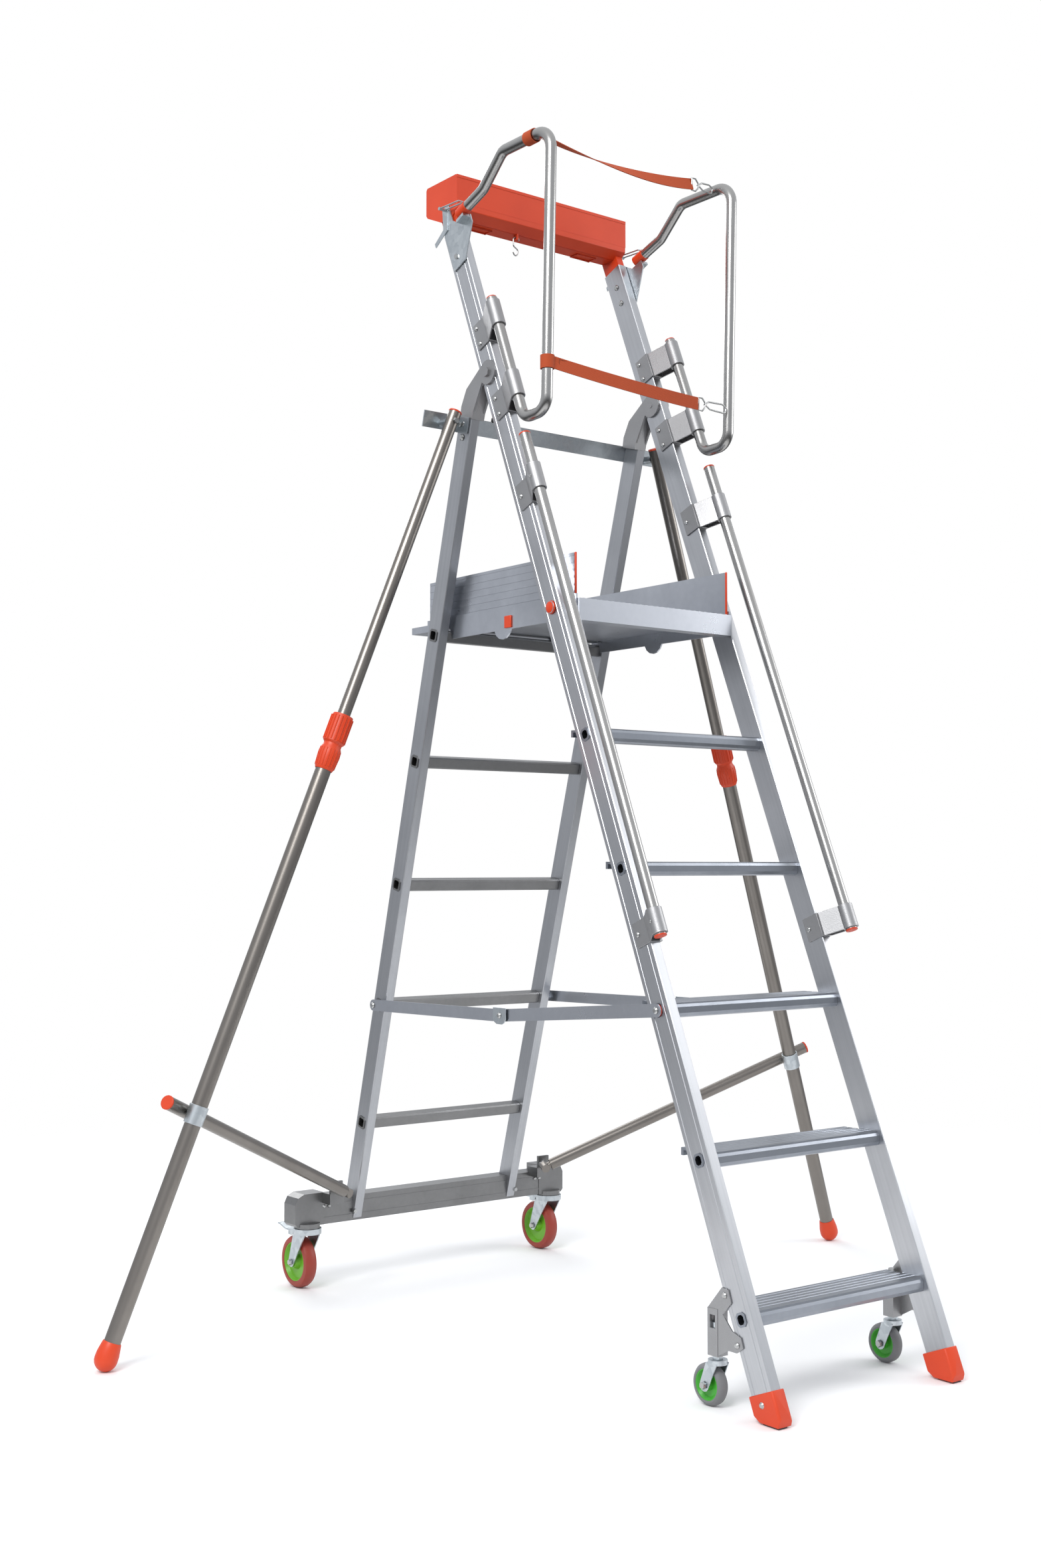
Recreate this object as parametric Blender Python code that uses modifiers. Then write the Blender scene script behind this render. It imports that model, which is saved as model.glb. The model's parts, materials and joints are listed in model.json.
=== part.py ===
"""Mobile platform stepladder: treaded front ladder, folding rear ladder on castors, guard hoops and stabilisers.

Metres, +Z up, climbing side towards -Y, origin on the floor at the middle of the bounding box.
"""

import math

import bmesh
import bpy
from mathutils import Matrix, Vector

# Overall layout
PITCH = 0.300
FRONT_LEAN = math.radians(22.07)
REAR_LEAN = math.radians(15.22)
REAR_FOOT_Y = 1.4973
Y_CENTRE = 0.7667
GAP = 0.0003

# Front ladder
STILE_OUT = 0.2564
STILE_WIDE = 0.0240
STILE_DEEP = 0.0580
STILE_WALL = 0.0020
STILE_LOW = 0.0300
STILE_TOP = 2.6900
STILE_IN = STILE_OUT - STILE_WIDE
FIRST_TREAD = 0.1932
TREADS = 5
DECK_HOLE = FIRST_TREAD + 5 * PITCH
HINGE_HOLE = FIRST_TREAD + 7 * PITCH
HINGE_Y, HINGE_Z = HINGE_HOLE * math.sin(FRONT_LEAN), HINGE_HOLE * math.cos(FRONT_LEAN)
LATCH = (-0.0073, 2.7376)
TREAD_NOSE = 0.0200
TREAD_BACK = 0.0770
TREAD_TOP = 0.0140
TREAD_LOW = 0.0150
TENON_DEEP = 0.0200
TENON_TALL = 0.0220
TENON_WALL = 0.0020
FLANGE = 0.0025

# Rear ladder
REAR_OUT = 0.2456
REAR_TAPER = 0.00772
REAR_WIDE = 0.0238
REAR_DEEP = 0.0490
REAR_TOP = 2.1100
REAR_LOW_Z = 0.1590
RUNG_SEAT = 0.4270
RUNGS = 5
RUNG_SIZE = 0.0270
RUNG_TENON = 0.0240
RUNG_REACH = RUNG_SIZE / 2 * (math.cos(REAR_LEAN) + math.sin(REAR_LEAN))
FIRST_RUNG = RUNG_SEAT - RUNG_REACH / math.cos(REAR_LEAN)
TOP_RUNG_Y = REAR_FOOT_Y - (FIRST_RUNG + (RUNGS - 1) * PITCH) * math.sin(REAR_LEAN)

# Rear beam and castors
BEAM_FRONT = 1.4310
BEAM_DEEP = 0.0500
BEAM_LOW = 0.1530
BEAM_TOP = 0.2140
BEAM_HALF = 0.3430
BEAM_WALL = 0.0030
BEAM_END = 0.4100
CASTOR_X = 0.3700
CASTOR_Y = 1.4400
WHEEL_TOP = 0.1250
WHEEL_R = 0.0625
AXLE_Z = WHEEL_TOP - WHEEL_R
WHEEL_HALF = 0.0165
WHEEL_TRAIL = 0.0390
AXLE_R = 0.0050

# Front castors
SMALL_X = 0.2465
SMALL_Y = 0.1470
SMALL_R = 0.0400
SMALL_HALF = 0.0125
SMALL_TRAIL = 0.0200
STEM_R = 0.0100
HOUSING = 0.0270

# Guard hoops and handrails
TUBE_R = 0.0125
TUBE_WALL = 0.0020
HOOP_X = 0.2680
HOOP_FWD = 0.0835
RAIL_X = 0.2735
RAIL_FWD = 0.0780
RING_R = 0.0165
RING_BORE = 0.0131

# Stabilisers
LEG_TOP = Vector((0.3084, 0.9317, 2.0200))
LEG_FOOT = Vector((1.0660, 1.0770, 0.0000))
LEG_OVER = 0.0257
LEG_UPPER_R = 0.0145
LEG_LOWER_R = 0.0175
LEG_BORE = 0.0152
LEG_UPPER_LONG = 1.2000
COLLAR_TOP = 0.7230
COLLAR_R = 0.0260
FOOT_R = 0.0240
CLAMP_AT = 1.6243
CLAMP_R = 0.0205
STRUT_FOOT = Vector((0.3030, 1.3700, 0.2350))
STRUT_R = 0.0145
STRUT_OVER = 0.0600

# Platform
DECK_Y0 = 0.5830
DECK_Y1 = 1.2150
DECK_TOP = 1.5870
DECK_LOW = 1.5712
LIP_GAP = 0.0023
LIP_WALL = 0.0040
DECK_HALF = 0.2225
SIDE_WALL = 0.0040
TOE_TOP = 1.6860
DECK_PIN = 0.0060

# Spreader bars
BAR_HALF = 0.0135
BAR_WALL = 0.0030
BAR_X = 0.2625
BAR_MID = (0.8030, 0.6930)
BAR_REAR = (1.3110, 0.6850)

SIDES = {"left": -1, "right": 1}

WORLD = Matrix.Translation((0, -Y_CENTRE, 0))
FRONT = WORLD @ Matrix.Rotation(-FRONT_LEAN, 4, "X")
REAR = WORLD @ Matrix.Translation((0, REAR_FOOT_Y, 0)) @ Matrix.Rotation(REAR_LEAN, 4, "X")

PAINTS = {
    "aluminium": ((0.62, 0.63, 0.65), 1.0, 0.35),
    "cast_aluminium": ((0.50, 0.51, 0.52), 1.0, 0.50),
    "galvanised": ((0.55, 0.58, 0.60), 1.0, 0.40),
    "orange_plastic": ((0.85, 0.14, 0.03), 0.0, 0.45),
    "tyre_grey": ((0.30, 0.31, 0.32), 0.0, 0.60),
    "tyre_orange": ((0.60, 0.12, 0.05), 0.0, 0.55),
    "webbing": ((0.85, 0.22, 0.04), 0.0, 0.80),
}


def clear_scene():
    """Remove whatever the scene starts with."""
    for obj in list(bpy.data.objects):
        bpy.data.objects.remove(obj)


def new_collection(name, shown=True):
    """A collection linked to the scene."""
    collection = bpy.data.collections.new(name)
    collection.hide_render = not shown
    bpy.context.scene.collection.children.link(collection)
    return collection


clear_scene()
LADDER = new_collection("extension_ladder")
TOOLS = new_collection("construction", shown=False)


def tidy(mesh):
    """Weld the mesh and point its faces outwards."""
    bm = bmesh.new()
    bm.from_mesh(mesh)
    bmesh.ops.remove_doubles(bm, verts=bm.verts, dist=1e-6)
    bmesh.ops.recalc_face_normals(bm, faces=bm.faces)
    bm.to_mesh(mesh)
    bm.free()
    return mesh


def held(mesh):
    """A construction object that carries the mesh."""
    obj = bpy.data.objects.new("construction", tidy(mesh))
    obj.display_type = "WIRE"
    obj.hide_render = True
    TOOLS.objects.link(obj)
    return obj


def evaluated(obj):
    """The object's evaluated mesh, with the object itself removed."""
    graph = bpy.context.evaluated_depsgraph_get()
    mesh = bpy.data.meshes.new_from_object(obj.evaluated_get(graph))
    bpy.data.objects.remove(obj)
    return mesh


def from_curve(curve):
    """The solid of a filled curve."""
    obj = bpy.data.objects.new("construction", curve)
    TOOLS.objects.link(obj)
    return held(evaluated(obj))


def prism(loops, low, high, axis):
    """Closed outlines extruded from low to high along an axis; the outline lies in the other two."""
    curve = bpy.data.curves.new("outline", "CURVE")
    curve.dimensions = "2D"
    curve.fill_mode = "BOTH"
    curve.extrude = (high - low) / 2
    for loop in loops:
        spline = curve.splines.new("POLY")
        spline.points.add(len(loop) - 1)
        for point, (a, b) in zip(spline.points, loop):
            point.co = (a, b, 0, 1)
        spline.use_cyclic_u = True
    shape = from_curve(curve)
    turn = {
        "X": Matrix(((0, 0, 1, 0), (1, 0, 0, 0), (0, 1, 0, 0), (0, 0, 0, 1))),
        "Y": Matrix(((1, 0, 0, 0), (0, 0, 1, 0), (0, 1, 0, 0), (0, 0, 0, 1))),
        "Z": Matrix.Identity(4),
    }[axis]
    middle = (low + high) / 2
    shape.data.transform(turn @ Matrix.Translation((0, 0, middle)))
    tidy(shape.data)
    return shape


def block(x, y, z):
    """A box from its three spans."""
    bm = bmesh.new()
    bmesh.ops.create_cube(bm, size=1)
    size = [abs(b - a) for a, b in (x, y, z)]
    centre = [(a + b) / 2 for a, b in (x, y, z)]
    bmesh.ops.scale(bm, vec=size, verts=bm.verts)
    bmesh.ops.translate(bm, vec=centre, verts=bm.verts)
    mesh = bpy.data.meshes.new("block")
    bm.to_mesh(mesh)
    bm.free()
    return held(mesh)


def rod(start, end, radius, segments=12):
    """A cylinder between two points."""
    start, end = Vector(start), Vector(end)
    along = end - start
    bm = bmesh.new()
    bmesh.ops.create_cone(
        bm,
        cap_ends=True,
        segments=segments,
        radius1=radius,
        radius2=radius,
        depth=along.length,
    )
    turn = along.to_track_quat("Z", "Y").to_matrix().to_4x4()
    bm.transform(Matrix.Translation((start + end) / 2) @ turn)
    mesh = bpy.data.meshes.new("rod")
    bm.to_mesh(mesh)
    bm.free()
    return held(mesh)


def pipe(points, radius, wall=0.0, resolution=4):
    """A round tube along points; without a wall it is solid."""
    curve = bpy.data.curves.new("path", "CURVE")
    curve.dimensions = "3D"
    curve.bevel_depth = radius
    curve.bevel_resolution = resolution
    curve.use_fill_caps = wall == 0.0
    spline = curve.splines.new("POLY")
    spline.points.add(len(points) - 1)
    for point, place in zip(spline.points, points):
        point.co = (*place, 1)
    shape = from_curve(curve)
    if wall == 0.0:
        return shape
    solid = shape.modifiers.new("wall", "SOLIDIFY")
    solid.thickness = wall
    solid.offset = -1
    return held(evaluated(shape))


def lathe(loop, segments):
    """A closed loop of (radius, height) points turned about Z; points on the axis close it."""
    bm = bmesh.new()
    verts = [bm.verts.new((r, 0, h)) for r, h in loop]
    edges = [bm.edges.new((a, b)) for a, b in zip(verts, verts[1:] + verts[:1])]
    if loop[0][0] == 0 and loop[-1][0] == 0:
        bm.edges.remove(edges.pop())
    bmesh.ops.spin(
        bm,
        geom=verts + edges,
        cent=(0, 0, 0),
        axis=(0, 0, 1),
        angle=2 * math.pi,
        steps=segments,
        use_merge=True,
    )
    mesh = bpy.data.meshes.new("lathe")
    bm.to_mesh(mesh)
    bm.free()
    return held(mesh)


def moved(shape, matrix):
    """The shape with the matrix applied to its mesh."""
    shape.data.transform(matrix)
    tidy(shape.data)
    return shape


def joined(base, adds=(), cuts=()):
    """One solid: the base with shapes added, then others cut away."""
    for operation, shapes in (("UNION", adds), ("DIFFERENCE", cuts)):
        for shape in shapes:
            boolean = base.modifiers.new(operation.lower(), "BOOLEAN")
            boolean.operation = operation
            boolean.solver = "EXACT"
            boolean.object = shape
    shape = held(evaluated(base))
    for used in (*adds, *cuts):
        bpy.data.objects.remove(used)
    return shape


def paint(name, kind):
    """A Principled material for one node."""
    colour, metallic, roughness = PAINTS[kind]
    material = bpy.data.materials.new(name)
    material.use_nodes = True
    shader = material.node_tree.nodes["Principled BSDF"]
    shader.inputs["Base Color"].default_value = (*colour, 1)
    shader.inputs["Metallic"].default_value = metallic
    shader.inputs["Roughness"].default_value = roughness
    return material


def node(name, shape, kind, space, origin=(0, 0, 0)):
    """Name the shape as a node whose origin is a point of the space it was built in."""
    mesh = shape.data
    bpy.data.objects.remove(shape)
    mesh.transform(Matrix.Translation(-Vector(origin)))
    mesh.name = name
    mesh.materials.clear()
    mesh.materials.append(paint(name, kind))
    mesh.shade_smooth()
    mesh.set_sharp_from_angle(angle=math.radians(35))
    return node_copy(name, mesh, space, origin)


def node_copy(name, mesh, space, origin):
    """Place a node's mesh."""
    obj = bpy.data.objects.new(name, mesh)
    LADDER.objects.link(obj)
    place = space @ Matrix.Translation(Vector(origin))
    obj.location = place.to_translation()
    obj.rotation_euler = place.to_euler()
    return obj


def front_of(y, z):
    """A side-view point of the room as a point of the front ladder's plane: (back, along)."""
    point = Matrix.Rotation(FRONT_LEAN, 2) @ Vector((y, z))
    return point.x, point.y


def rear_of(y, z):
    """A side-view point of the room as a point of the rear ladder's plane: (back, along)."""
    point = Matrix.Rotation(-REAR_LEAN, 2) @ Vector((y - REAR_FOOT_Y, z))
    return point.x, point.y


def rounded(wide, tall, corner, centre=(0, 0)):
    """A rectangle with cut corners."""
    a, b = wide / 2, tall / 2
    corners = (
        (a - corner, -b), (a, corner - b), (a, b - corner), (a - corner, b),
        (corner - a, b), (-a, b - corner), (-a, corner - b), (corner - a, -b),
    )
    return [(centre[0] + x, centre[1] + y) for x, y in corners]


def arc(centre, radius, start, end, steps):
    """Points of a circular arc, angles in degrees."""
    points = []
    for step in range(steps + 1):
        angle = math.radians(start + (end - start) * step / steps)
        points.append((centre[0] + radius * math.cos(angle), centre[1] + radius * math.sin(angle)))
    return points


def capsule(start, end, radius, steps=6):
    """The outline of a bar with round ends."""
    angle = math.degrees(math.atan2(end[1] - start[1], end[0] - start[0]))
    head = arc(end, radius, angle - 90, angle + 90, steps)
    tail = arc(start, radius, angle + 90, angle + 270, steps)
    return head + tail


def filleted(points, radii, steps=3):
    """A polyline with its corners rounded to the radii given, one for each inner point."""
    path = [Vector(points[0])]
    for before, corner, after, radius in zip(points, points[1:], points[2:], radii):
        corner = Vector(corner)
        a = (Vector(before) - corner).normalized()
        b = (Vector(after) - corner).normalized()
        half = a.angle(b) / 2
        reach = radius / math.tan(half)
        centre = corner + (a + b).normalized() * radius / math.sin(half)
        start, end = corner + a * reach - centre, corner + b * reach - centre
        for step in range(steps + 1):
            path.append(centre + arc_point(start, end, step / steps))
    path.append(Vector(points[-1]))
    return path


def arc_point(start, end, part):
    """The point part of the way round from one radius vector to another."""
    angle = start.angle(end)
    return (start * math.sin((1 - part) * angle) + end * math.sin(part * angle)) / math.sin(angle)


def span(side, inner, outer):
    """The x span of a piece on one side."""
    return tuple(sorted((side * inner, side * outer)))


def stile_outline(side):
    """The front stile's grooved section."""
    half = STILE_DEEP / 2
    groove, depth, cut = 0.002, 0.0008, 0.0015
    outer = [(STILE_IN, -half + cut), (STILE_IN + cut, -half), (STILE_OUT - cut, -half), (STILE_OUT, -half + cut)]
    for middle in (-0.017, 0.017):
        outer += [
            (STILE_OUT, middle - groove),
            (STILE_OUT - depth, middle - groove / 2),
            (STILE_OUT - depth, middle + groove / 2),
            (STILE_OUT, middle + groove),
        ]
    outer += [(STILE_OUT, half - cut), (STILE_OUT - cut, half), (STILE_IN + cut, half), (STILE_IN, half - cut)]
    return [(side * x, y) for x, y in outer]


def front_stiles():
    """The two hollow front stiles with their tread, deck and hinge holes."""
    for name, side in SIDES.items():
        middle = side * (STILE_OUT - STILE_WIDE / 2)
        hollow = rounded(STILE_WIDE - 2 * STILE_WALL, STILE_DEEP - 2 * STILE_WALL, 0.001, (middle, 0))
        bar = prism([stile_outline(side), hollow], STILE_LOW, STILE_TOP, "Z")
        through = (middle - STILE_WIDE, middle + STILE_WIDE)
        cuts = []
        for number in range(TREADS):
            hole = rounded(
                TENON_DEEP + 2 * GAP, TENON_TALL + 2 * GAP, 0.005, (0, FIRST_TREAD + number * PITCH)
            )
            cuts.append(prism([hole], *through, "X"))
        for along, radius in ((DECK_HOLE, DECK_PIN), (HINGE_HOLE, 0.006)):
            cuts.append(rod((through[0], 0, along), (through[1], 0, along), radius + GAP))
        node(f"front_stile_{name}", joined(bar, cuts=cuts), "aluminium", FRONT, (middle, 0, 0))


def treads():
    """Five treads: a ribbed top, a hollow nose and swaged ends through the stiles."""
    nose = [
        (-0.012, TREAD_TOP), (-0.0175, 0.0115), (-TREAD_NOSE, 0.006), (-TREAD_NOSE, -0.006),
        (-0.0175, -0.0125), (-0.012, -TREAD_LOW), (0.016, -TREAD_LOW), (0.020, -0.011),
        (0.020, 0.009), (TREAD_BACK - 0.007, 0.009), (TREAD_BACK - 0.007, -0.001),
        (TREAD_BACK, -0.001), (TREAD_BACK, TREAD_TOP),
    ]
    for rib in range(5):
        back = TREAD_BACK - 0.008 - rib * 0.0150
        nose += [
            (back, TREAD_TOP), (back - 0.001, TREAD_TOP - 0.001),
            (back - 0.004, TREAD_TOP - 0.001), (back - 0.005, TREAD_TOP),
        ]
    body = prism([[front_of(y, z) for y, z in nose]], -STILE_IN + GAP, STILE_IN - GAP, "X")
    reach = STILE_OUT + GAP + 0.0018
    tenon = prism([rounded(TENON_DEEP, TENON_TALL, 0.005)], -reach, reach, "X")
    flanges = []
    for side in SIDES.values():
        outline = rounded(TENON_DEEP + 2 * FLANGE, TENON_TALL + 2 * FLANGE, 0.006)
        flanges.append(prism([outline], *span(side, STILE_OUT + GAP, reach - 0.0002), "X"))
    hollow = rounded(TENON_DEEP - 2 * TENON_WALL, TENON_TALL - 2 * TENON_WALL, 0.004)
    bore = prism([hollow], -reach - 0.01, reach + 0.01, "X")
    shape = joined(body, [tenon, *flanges], [bore])
    first = node("tread_1", shape, "aluminium", FRONT)
    mesh = first.data
    first.location = (FRONT @ Matrix.Translation((0, 0, FIRST_TREAD))).to_translation()
    for number in range(1, TREADS):
        node_copy(f"tread_{number + 1}", mesh, FRONT, (0, 0, FIRST_TREAD + number * PITCH))


def foot_caps():
    """The moulded feet that close the front stiles."""
    rise = math.tan(FRONT_LEAN)
    over = 0.0032
    half = STILE_DEEP / 2 + over
    flat = half - 0.0055
    outline = [
        (-flat, -flat * rise), (flat, flat * rise), (half, half * rise + 0.0075),
        (half, 0.058), (-half, 0.058), (-half, -half * rise + 0.0085),
    ]
    for name, side in SIDES.items():
        shell = prism([outline], *span(side, STILE_IN - over, STILE_OUT + over), "X")
        pocket = block(
            span(side, STILE_IN - GAP, STILE_OUT + GAP),
            (-STILE_DEEP / 2 - GAP, STILE_DEEP / 2 + GAP),
            (STILE_LOW - GAP, 0.08),
        )
        origin = (side * (STILE_OUT - STILE_WIDE / 2), 0, STILE_LOW)
        node(f"foot_cap_{name}", joined(shell, cuts=[pocket]), "orange_plastic", FRONT, origin)


def top_tray():
    """The tool tray across the stile tops, with a lug down into each stile."""
    outline = [
        (0.9860, 2.6120), (0.9860, 2.5510), (1.0080, 2.5510), (1.0100, 2.5200),
        (1.0500, 2.5200), (1.1050, 2.5450), (1.1100, 2.5520), (1.1100, 2.6120), (1.1060, 2.6170), (0.9900, 2.6170),
    ]
    body = prism([outline], -0.2570, 0.2570, "X")
    lugs = []
    for side in SIDES.values():
        lug = block(
            span(side, STILE_IN + STILE_WALL + 0.0004, STILE_OUT - STILE_WALL - 0.0004),
            (-STILE_DEEP / 2 + STILE_WALL + 0.0012, STILE_DEEP / 2 - STILE_WALL - 0.0012),
            (2.600, 2.745),
        )
        lugs.append(moved(lug, Matrix.Rotation(-FRONT_LEAN, 4, "X")))
    eye = block((-0.0670, -0.0630), (1.0050, 1.0190), (2.5080, 2.5300))
    hole = rod((-0.08, 1.012, 2.514), (-0.05, 1.012, 2.514), 0.003, 10)
    recess = block((-0.2460, 0.2460), (0.9980, 1.0980), (2.5560, 2.6500))
    node("top_tray", joined(body, [*lugs, eye], [recess, hole]), "orange_plastic", WORLD, (0, 1.05, 2.55))


def clamp_body(side, ring_x, ring_fwd, low, high):
    """A fork over the stile with an arm out to the ring that holds a tube."""
    half = STILE_DEEP / 2
    plate, front = 0.003, 0.0045
    a, b = STILE_IN - GAP, STILE_OUT + GAP
    fork = [
        (b, 0.010), (b + plate, 0.010), (b + plate, -half - GAP - front), (a - plate, -half - GAP - front),
        (a - plate, 0.010), (a, 0.010), (a, -half - GAP), (b, -half - GAP),
    ]
    arm = [
        (a + 0.006, -half - 0.002), (b + plate, -half - 0.002),
        (ring_x + 0.012, -ring_fwd + 0.006), (ring_x - 0.013, -ring_fwd + 0.004),
    ]
    shapes = [prism([[(side * x, y) for x, y in loop]], low, high, "Z") for loop in (fork, arm)]
    ring = rod((side * ring_x, -ring_fwd, low), (side * ring_x, -ring_fwd, high), RING_R)
    return shapes[0], [shapes[1], ring]


def hoop_clamps():
    """Four clamps that hold the guard hoops."""
    for name, side in SIDES.items():
        for level_name, low in (("upper", 2.358), ("lower", 2.170)):
            high = low + 0.064
            fork, adds = clamp_body(side, HOOP_X, HOOP_FWD, low, high)
            place = (side * HOOP_X, -HOOP_FWD)
            bore = rod((*place, low - 0.01), (*place, high + 0.01), RING_BORE)
            node(
                f"hoop_clamp_{level_name}_{name}", joined(fork, adds, [bore]),
                "cast_aluminium", FRONT, (*place, low),
            )


def handrails():
    """The two handrails beside the treads, each with its pair of clamps."""
    for name, side in SIDES.items():
        rail = rod((side * RAIL_X, -RAIL_FWD, 0.919), (side * RAIL_X, -RAIL_FWD, 2.078), TUBE_R)
        adds = []
        for low, high in ((1.937, 1.999), (0.925, 0.977)):
            fork, more = clamp_body(side, RAIL_X, RAIL_FWD, low, high)
            adds += [fork, *more]
        place = (side * RAIL_X, -RAIL_FWD)
        bore = rod((*place, 0.90), (*place, 2.10), TUBE_R - TUBE_WALL)
        node(f"handrail_{name}", joined(rail, adds, [bore]), "aluminium", FRONT, (*place, 0.919))


def guard_hoops():
    """The two bent guard hoops that turn in their clamps."""
    room = [
        (0.9550, 2.5120), (0.8680, 2.5415), (0.7950, 2.6060), (0.6210, 2.6030),
        (0.6380, 1.9950), (0.7170, 1.9910),
    ]
    for name, side in SIDES.items():
        points = [(side * HOOP_X, *front_of(y, z)) for y, z in room]
        points += [(side * HOOP_X, -HOOP_FWD, 2.430)]
        corner = points[5]
        points[5] = (corner[0], -HOOP_FWD, corner[2])
        path = filleted(points, (0.030, 0.035, 0.045, 0.034, 0.034))
        shape = pipe(path, TUBE_R, TUBE_WALL, 3)
        node(f"guard_hoop_{name}", shape, "aluminium", FRONT, (side * HOOP_X, -HOOP_FWD, 2.300))


def hoop_brackets():
    """The bolted plates that carry the hoop ends, and the wire latches over them."""
    for name, side in SIDES.items():
        plate = [
            (0.021, 2.585), (-0.026, 2.585), (-0.080, 2.650), (-0.080, 2.671), (-0.045, 2.671),
            (-0.018, 2.700), (-0.018, 2.748), (0.004, 2.748), (0.021, 2.700),
        ]
        base = prism([plate], *span(side, 0.2575, 0.2605), "X")
        shelf = block(span(side, 0.2600, 0.2800), (-0.078, -0.050), (2.664, 2.671))
        foot = block(span(side, STILE_OUT + GAP, 0.2580), (-0.020, 0.018), (2.590, 2.660))
        node(
            f"hoop_bracket_{name}", joined(base, [shelf, foot]), "galvanised", FRONT,
            (side * 0.2575, 0, 2.62),
        )
        lever = [
            (-0.016, 2.742), (-0.010, 2.728), (0.004, 2.690), (0.0585, 2.680),
            (0.0585, 2.690), (0.018, 2.700), (0.004, 2.744), (-0.010, 2.747),
        ]
        thumb = prism([lever], *span(side, 0.2610, 0.2635), "X")
        pin = rod((side * 0.2610, *LATCH), (side * 0.2820, *LATCH), 0.004, 12)
        wire = pipe(
            [
                (side * 0.2650, *LATCH), (side * 0.2650, -0.0750, 2.7070),
                (side * 0.2800, -0.0750, 2.7070), (side * 0.2800, *LATCH),
            ],
            0.0018, resolution=2,
        )
        node(
            f"hoop_latch_{name}", joined(thumb, [pin, wire]), "galvanised", FRONT,
            (side * 0.2610, *LATCH),
        )


def hinge_castings():
    """The castings that join the rear stiles to the front ones and turn on the hinge bolts."""
    back, along = rear_of(HINGE_Y, HINGE_Z)
    front_face = -REAR_DEEP / 2
    cheek = arc((back, along), 0.028, 30, 300, 12)
    cheek += [(front_face + 0.004, REAR_TOP + GAP), (0.0200, REAR_TOP + GAP), (0.0245, 2.1350), (0.0150, 2.1750)]
    web = [
        (front_face, REAR_TOP + GAP), (-front_face - 0.002, REAR_TOP + GAP), (-front_face, 2.1350),
        (0.0150, 2.1750), (front_face + 0.004, 2.1900), (front_face, 2.1850),
    ]
    for name, side in SIDES.items():
        outer = prism([cheek], *span(side, STILE_OUT + GAP, 0.2617), "X")
        inner = prism([cheek], *span(side, 0.2271, STILE_IN - GAP), "X")
        bridge = prism([web], *span(side, 0.2271, 0.2617), "X")
        top = REAR_OUT + REAR_TAPER * REAR_TOP
        spigot = block(
            span(side, top - REAR_WIDE + 0.0026, top - 0.0030),
            (front_face + 0.0025, -front_face - 0.0025),
            (2.040, REAR_TOP + 0.010),
        )
        pin = rod((side * 0.2260, back, along), (side * 0.2640, back, along), 0.006)
        head = rod((side * 0.2615, back, along), (side * 0.2670, back, along), 0.011, 6)
        node(
            f"hinge_casting_{name}", joined(bridge, [outer, inner, spigot, pin, head]),
            "cast_aluminium", REAR, (side * STILE_OUT, back, along),
        )


def rear_edge(along):
    """How far out the rear stile's outer face is at a distance along it."""
    return REAR_OUT + REAR_TAPER * along


def rear_stiles():
    """The two hollow rear stiles, notched over the beam."""
    notch = [rear_of(y, z) for y, z in (
        (1.36, 0.02), (1.36, REAR_LOW_Z), (BEAM_FRONT - GAP, REAR_LOW_Z),
        (BEAM_FRONT - GAP, BEAM_TOP + GAP), (1.56, BEAM_TOP + GAP), (1.56, 0.02),
    )]
    for name, side in SIDES.items():
        outer = rounded(REAR_WIDE, REAR_DEEP, 0.0015)
        hollow = rounded(REAR_WIDE - 0.004, REAR_DEEP - 0.004, 0.001)
        bar = prism([outer, hollow], 0.1200, REAR_TOP, "Z")
        slant = Matrix.Translation((side * (REAR_OUT - REAR_WIDE / 2), 0, 0))
        moved(bar, slant @ Matrix.Rotation(side * math.atan(REAR_TAPER), 4, "Y"))
        cuts = [prism([notch], *span(side, 0.20, 0.30), "X")]
        for number in range(RUNGS):
            hole = rounded(
                RUNG_TENON + 2 * GAP, RUNG_TENON + 2 * GAP, 0.004, (0, FIRST_RUNG + number * PITCH)
            )
            cuts.append(prism([hole], *span(side, 0.20, 0.30), "X"))
        node(
            f"rear_stile_{name}", joined(bar, cuts=cuts), "aluminium", REAR,
            (side * (REAR_OUT - REAR_WIDE / 2), 0, 0.12),
        )


def rungs():
    """Five square rungs with swaged ends through the rear stiles."""
    for number in range(RUNGS):
        along = FIRST_RUNG + number * PITCH
        edge = rear_edge(along) + 0.0003
        inner = edge - REAR_WIDE - 0.0009
        body = prism([rounded(RUNG_SIZE, RUNG_SIZE, 0.003, (0, along))], -inner, inner, "X")
        reach = edge + 0.0018
        tenon = prism([rounded(RUNG_TENON, RUNG_TENON, 0.004, (0, along))], -reach, reach, "X")
        flanges = []
        for side in SIDES.values():
            outline = rounded(RUNG_TENON + 2 * FLANGE, RUNG_TENON + 2 * FLANGE, 0.005, (0, along))
            flanges.append(prism([outline], *span(side, edge + 0.0001, reach - 0.0002), "X"))
        bore = prism([rounded(0.020, 0.020, 0.003, (0, along))], -reach - 0.01, reach + 0.01, "X")
        shape = joined(body, [tenon, *flanges], [bore])
        node(f"rung_{number + 1}", shape, "aluminium", REAR, (0, 0, along))


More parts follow.
